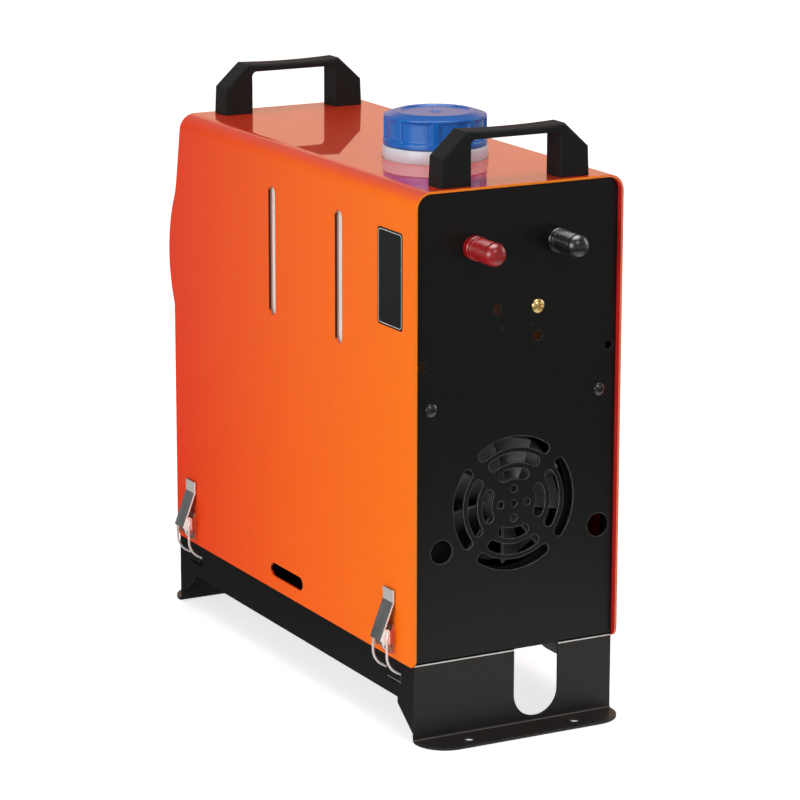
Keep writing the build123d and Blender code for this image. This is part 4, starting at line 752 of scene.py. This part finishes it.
# %% [markdown]
# ## Filler cap
# The blue cap is moulded with eight flutes for the fingers, narrow ridges between them, a rim at
# the foot, a sloping shoulder and a dished crown. Its outline is turned, and the radius drops by
# a millimetre and a half inside each flute. A steep S-curve of the angle gives the flute its
# edges, and two more S-curves of the height end it below the shoulder and above the rim.

# %% Filler cap
cap_low, crown = (corner[2] for corner in middle_of("filler_cap")[1:])
cap_wall, cap_rim, cap_inner = 32.1, 32.5, 28.9          # radii
shoulder = crown - 2.4
flutes, flute_deep = 8, 1.5
ridge_at, ridge_half = -118.3, 4.6                       # degrees


def step_up(value, at, width):
    """S-curve from 0 to 1 as value passes at, most of the way within width."""
    return 0.5 + 0.5 * np.tanh((value - at) / width)


def fluted(radius, height, angle):
    """Radius less the flute's depth, wherever the angle is more than ridge_half from a ridge's
    middle, between the foot rim and the shoulder, and only on the outer wall."""
    pitch = 2 * math.pi / flutes
    share = (angle - math.radians(ridge_at)) / pitch
    from_ridge = np.degrees(np.abs(share - np.round(share)) * pitch)
    inside = step_up(from_ridge, ridge_half, 0.45)
    span = step_up(height, cap_low + 3.9, 0.25) * step_up(-height, -(shoulder - 1.8), 0.35)
    outer = step_up(radius, cap_wall - 1.2, 0.2)
    return radius - flute_deep * inside * span * outer


cap_profile = soft_profile(
    [(cap_inner, cap_low + 9), (cap_inner, cap_low + 0.2), (cap_rim, cap_low),
     (cap_rim, cap_low + 3.0), (cap_wall, cap_low + 3.5), (cap_wall, shoulder), (24.6, crown),
     (22.0, crown), (21.2, crown - 0.9), (4.4, crown - 0.9), (4.1, crown - 0.6),
     (2.0, crown - 0.6), (1.7, crown - 1.3), (0, crown - 1.3)], step=0.3, round_mm=0.7)
cap_skin = turned("filler_cap_skin", cap_profile, (0, neck_y, 0), "z", finishes["blue_plastic"],
                  turns=360, shape=fluted, body="filler_cap")
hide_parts("filler_cap")
print("filler cap", len(cap_skin.data.polygons), "faces")

# %% [markdown]
# The milky tank's neck stands on a collar that bulges a little where it leaves the roof. It is
# one turned ring over the measured collar: a flat foot, a round belly, a narrower top.

# %% Collar of the filler neck
collar_r, belly_out = 32.62, 0.55
collar_foot, collar_top = roof_z - 1.2, 350.25
belly = np.linspace(0, math.pi, 24)
collar_wall = np.stack([collar_r + belly_out * np.sin(belly) ** 0.7,
                        np.linspace(collar_foot, collar_top, 24)], axis=1)
collar_profile = np.concatenate([[(31.5, collar_foot)], collar_wall,
                                 [(31.8, collar_top + 0.09), (28.7, collar_top + 0.11)]])
collar = turned("neck_collar", collar_profile, (0, neck_y, 0), "z", finishes["neck_plastic"],
                turns=160)
print("neck collar", round(2 * (collar_r + belly_out), 1), "mm across")

# %% [markdown]
# ## Terminal caps
# Each terminal ends in a clear cap: a flange, a grip with fine rings round it, and a round nose.
# The nose is an arc of an ellipse, and the rings are a small sine of the height. The cap keeps
# the place and length of the measured one.

# %% Terminal caps
nose_r, nose_long = 7.3, 5.8
flange_r, groove_r = 7.4, 6.6
grip_r, ring_deep, ring_pitch = 7.0, 0.13, 1.15


def cap_outline(tip, foot):
    """(radius, y) pairs from the flat foot over the flange, groove, ringed grip and nose."""
    flange = [(0, foot - 0.05), (flange_r - 0.3, foot - 0.05), (flange_r, foot - 0.35),
              (flange_r, foot - 1.6), (flange_r - 0.15, foot - 1.8), (groove_r, foot - 2.1),
              (groove_r, foot - 2.9), (6.85, foot - 3.2)]
    grip = np.linspace(foot - 3.4, tip + 6.4, 90)
    rings = grip_r + ring_deep * np.sin((grip - foot) * 2 * math.pi / ring_pitch)
    groove = [(6.75, tip + 6.25), (7.15, tip + 6.0)]
    arc = np.linspace(0, math.pi / 2, 26)
    nose = np.stack([nose_r * np.cos(arc), tip + nose_long - nose_long * np.sin(arc)], axis=1)
    return np.concatenate([flange, np.stack([rings, grip], axis=1), groove, nose])


for colour, slot in (("red", "red_plastic"), ("black", "black_gloss_plastic")):
    node = f"{colour}_terminal_cap"
    centre, low, high = middle_of(node)
    skin = turned(f"{colour}_terminal_skin", cap_outline(low[1], high[1]), centre * (1, 0, 1),
                  "y", finishes[slot], smooth_angle=50, body=node)
    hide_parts(node)
    print(colour, "cap from y", round(high[1], 1), "to", round(low[1], 1), "mm")

# %% [markdown]
# ## Screw heads
# A pan-head screw is a dome with a recess pressed into it. Both are heights above the panel, so
# the head is a height field on a polar grid: the dome falls off towards the rim by a power of the
# radius, and the recess is subtracted where a point lies inside a cross or a hexagon. The same
# grid runs down the rim and on along the shank, so the head stands for the whole screw.

# %% Screw heads


def cross_recess(u, v):
    """1 inside two crossed bars, 1.24 mm wide and 4.6 mm long, falling to 0 at their sides."""
    def bar(across, along):
        return step_up(-np.abs(across), -0.62, 0.12) * step_up(-np.abs(along), -2.3, 0.2)
    return np.maximum(bar(u, v), bar(v, u))


def hex_recess(u, v):
    """1 inside a hexagon 3.2 mm across its flats, falling to 0 at its sides."""
    turns = np.radians([0, 60, 120]).reshape(3, 1, 1)
    return step_up(-np.abs(u * np.cos(turns) + v * np.sin(turns)).max(axis=0), -1.6, 0.12)


def screw(name, at, radius, rise, recess, deep, length, material, out=-1, shank=1.9):
    """Height = rise times (1 less 0.7 times the 2.4th power of the radius's share) less deep
    times the recess, then the rim, the shank and its end."""
    angle = full_turn(120)
    r = np.linspace(0, radius, 60)[:, None]
    dome = rise * (1 - (r / radius) ** 2.4 * 0.7)
    dome = dome - deep * recess(r * np.cos(angle), r * np.sin(angle))
    tail_r = np.array([radius, shank, shank, 0.0])[:, None]
    tail_h = np.array([0.0, 0.0, -length, -length])[:, None]
    radii = np.concatenate([r, tail_r]) + 0 * angle
    heights = np.concatenate([dome, tail_h + 0 * angle])
    points = np.stack([at[0] + radii * np.cos(angle), at[1] + out * heights,
                       at[2] + radii * np.sin(angle)], axis=-1)
    return grid_piece(name, points, material, smooth_angle=50)


earth_at = middle_of("earth_screw")[0]
earth = screw("earth_screw_head", (earth_at[0], front_y, earth_at[2]), radius=4.4, rise=2.5,
              recess=cross_recess, deep=1.6, length=8.0, material=finishes["brass"])
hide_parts("earth_screw")

head_r = 4.1
screw_low, screw_high = middle_of("panel_screws")[1:]
upper_z, lower_z = screw_high[2] - head_r, screw_low[2] + head_r
panels = (("front", upper_z, front_y, -1), ("rear", lower_z, screw_high[1] - 2, 1))
for side, label in ((-1, "left"), (1, "right")):
    x = side * (screw_high[0] - head_r)
    for end, z, face, out in panels:
        head = screw(f"{label}_{end}_panel_screw", (x, face, z), head_r, rise=2.1,
                     recess=hex_recess, deep=1.3, length=7.0, material=finishes["black_screw"],
                     out=out)
        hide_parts("panel_screws")
print("panel screws at z", round(upper_z, 1), "and", round(lower_z, 1), "mm")

# %% [markdown]
# ## Bend at the top of the front leg
# The tray's front leg is bent over into the deck, and the bend's round edge shows as a thin
# bright line under the panel, broken by the pipe cut-out. Above it the gap to the panel reads as
# a black line, and the foot's bend shows as a duller one. Each is a half-round bar lying on the
# sheet, the two bends' bars painted highlights and the gap's bar painted shade: a half ellipse
# carried along X and closed at its ends.

# %% Leg bend
# Painted highlight: the pale bar stands for light caught on the leg's bend.
fold_highlight_paint = finish("leg_fold_painted_highlight", (0.9, 0.87, 0.83), (0.62, 0.6, 0.57), (0.3, 0.42), grain_mm=1.5,
                    bump_mm=0.01, edge_mm=0.2)
# Painted shade: a black bar where the gap between leg and panel lies in shadow.
painted_gap_shadow = finish("gap_shade", (0.002, 0.002, 0.002), (0.001, 0.001, 0.001), (0.8, 0.9),
                   bump_mm=0.01, edge_mm=0.1, Specular_IOR_Level=0.0)
# Painted highlight: the pale bar stands for light caught on the foot's bend.
toe_highlight_paint = finish("toe_fold_painted_highlight", (0.3, 0.28, 0.26), (0.1, 0.09, 0.085), (0.3, 0.4),
                   grain_mm=9.0)
leg_half, toe_half = 69.8, 69.6      # reach to each side
bend_z, gap_z, toe_z = 49.2, 50.3, 1.95
cut_low, cut_high = 0.4, 31.8        # the pipe cut-out


def half_round(name, x_from, x_to, y, z, half_high, proud, material):
    """Half ellipse in (Y, Z) carried along X; the first and last rings shrink to a point."""
    angle = np.linspace(-math.pi / 2, 3 * math.pi / 2, 25)[:-1]
    scale = np.array([0.0, 0.6, 0.9, 1.0, 1.0, 0.9, 0.6, 0.0])[:, None]
    x = np.array([0, 0, 0.2, 0.5, -0.5, -0.2, 0, 0]) + np.array([x_from] * 4 + [x_to] * 4)
    front = np.maximum(np.cos(angle), -0.3)[None, :]
    points = np.stack([x[:, None] + 0 * angle, y - proud * front * scale,
                       z + half_high * np.sin(angle) * scale], axis=-1)
    grid_piece(name, points, material, smooth_angle=60)


for label, x_from, x_to in (("left", -leg_half, cut_low), ("right", cut_high, leg_half)):
    half_round(f"{label}_leg_bend", x_from, x_to, front_y + 0.1, bend_z,
               half_high=0.45, proud=0.4, material=fold_highlight_paint)
    half_round(f"{label}_panel_gap", x_from, x_to, front_y + 0.1, gap_z,
               half_high=0.5, proud=0.2, material=painted_gap_shadow)
half_round("toe_bend", -toe_half, toe_half, front_y - 0.9, toe_z,
           half_high=0.22, proud=0.25, material=toe_highlight_paint)
print("leg bend to", leg_half, "mm on both sides, cut out from", cut_low, "to", cut_high)

# %% [markdown]
# ## Painted shade behind the hook windows
# The skirts have four windows in all, from which the hooks for the latch wires are bent. A small
# black sheet stands behind each, clear of the wire's swing: painted shade, a dark sheet where
# there is only shade inside the tray, so that no daylight shows through. It is a flat box whose
# corners are rounded off by a superellipse: |a| and |b| to the eighth power add up to one along its
# outline.

# %% Window shade sheets
shade_sheet_out, shade_sheet_in = 57.9, 57.3         # faces of the plate, from the heater's middle
shade_sheet_z, shade_sheet_half_high = 37.0, 11.4
shade_sheet_before, shade_sheet_behind = 12, 38      # reach before and behind the wire's middle


def shade_sheet(name, side, y_from, y_to):
    """Superellipse in (Y, Z), carried along X through the plate's thickness and closed."""
    angle = full_turn(64)
    a = np.sign(np.cos(angle)) * np.abs(np.cos(angle)) ** 0.25
    b = np.sign(np.sin(angle)) * np.abs(np.sin(angle)) ** 0.25
    grow = np.array([0.0, 0.97, 1.0, 1.0, 0.97, 0.0])[:, None]
    x = side * np.array([shade_sheet_out, shade_sheet_out, shade_sheet_out - 0.1, shade_sheet_in + 0.1, shade_sheet_in, shade_sheet_in])
    points = np.stack([x[:, None] + 0 * angle, (y_from + y_to) / 2 + (y_to - y_from) / 2 * a * grow,
                       shade_sheet_z + shade_sheet_half_high * b * grow], axis=-1)
    return grid_piece(name, points, finishes["tray_paint"], smooth_angle=40)


# Painted shade: one black sheet behind each hook window.
for end in LATCHES:
    wire = middle_of(f"latch_bail_{end}")[0]
    plate = shade_sheet(f"window_shade_sheet_{end}", np.sign(wire[0]), max(wire[1] - shade_sheet_before, front_y + 3),
                  min(wire[1] + shade_sheet_behind, upright_y - 4))
print(len(LATCHES), "window guards", round(shade_sheet_out - shade_sheet_in, 1), "mm thick")

# %% [markdown]
# ## Data plate
# On the left side near the grille end sits a thin black plate with round corners and a fine pale
# line along its border. It is left bare. Its outline is a rounded rectangle, a function of one
# angle-like parameter; the second parameter shrinks it towards the middle, with a small bevel at
# the rim. The ring of faces that forms the pale line gets the second material.

# %% Data plate
plate_y, plate_z = (front_y + 12.2, front_y + 43.7), (255.3, 315.2)
around = 160                             # points along the outline
plate_paint = finish("plate_film", (0.006, 0.006, 0.006), (0.004, 0.004, 0.004), (0.3, 0.4),
                     grain_mm=0.8, bump_mm=0.004, edge_mm=0.1, Specular_IOR_Level=0.1)
line_paint = finish("plate_line", (0.85, 0.83, 0.8), (0.7, 0.68, 0.66), (0.35, 0.42),
                    grain_mm=0.8, bump_mm=0.004, edge_mm=0.1)


def rounded_rectangle(half_a, half_b, radius):
    """Closed outline: quarter circles of the radius round four centres, joined by straight runs."""
    corner = np.repeat(np.arange(4), around // 4)
    angle = np.tile(np.linspace(0, math.pi / 2, around // 4), 4) + corner * math.pi / 2
    centre_a = np.array([1, -1, -1, 1])[corner] * (half_a - radius)
    centre_b = np.array([1, 1, -1, -1])[corner] * (half_b - radius)
    return np.stack([centre_a + radius * np.cos(angle), centre_b + radius * np.sin(angle)], axis=1)


half_a, half_b = (plate_y[1] - plate_y[0]) / 2, (plate_z[1] - plate_z[0]) / 2
# Each ring: how far in from the outline it lies, its corner radius and its rise off the cover.
rings = [(0.0, 2.4, 0.02), (0.0, 2.4, 0.12), (0.05, 2.4, 0.15), (1.15, 2.2, 0.15),
         (1.16, 2.2, 0.17), (1.5, 1.9, 0.17), (1.51, 1.9, 0.15), (4.0, 0.5, 0.15)]
line_rings = [3, 4, 5]                   # the pale line starts at these rings
levels = [np.concatenate([rounded_rectangle(half_a - inset, half_b - inset, radius),
                          np.full((around, 1), rise)], axis=1) for inset, radius, rise in rings]
levels.append(np.concatenate([levels[-1][:, :2] * (0.0, 0.75), levels[-1][:, 2:]], axis=1))
along_y, along_z, rise = np.moveaxis(np.stack(levels), -1, 0)
plate_points = np.stack([-case_half - rise, sum(plate_y) / 2 - along_y, sum(plate_z) / 2 + along_z],
                        axis=-1)
plate = grid_piece("data_plate", plate_points, plate_paint)
plate.data.materials.append(line_paint)
ring_of_face = np.repeat(np.arange(len(rings)), around)[:len(plate.data.polygons)]
plate.data.polygons.foreach_set("material_index",
                                np.isin(ring_of_face, line_rings).astype(np.int32))
print("plate", round(half_a * 2, 1), "by", round(half_b * 2, 1), "mm")
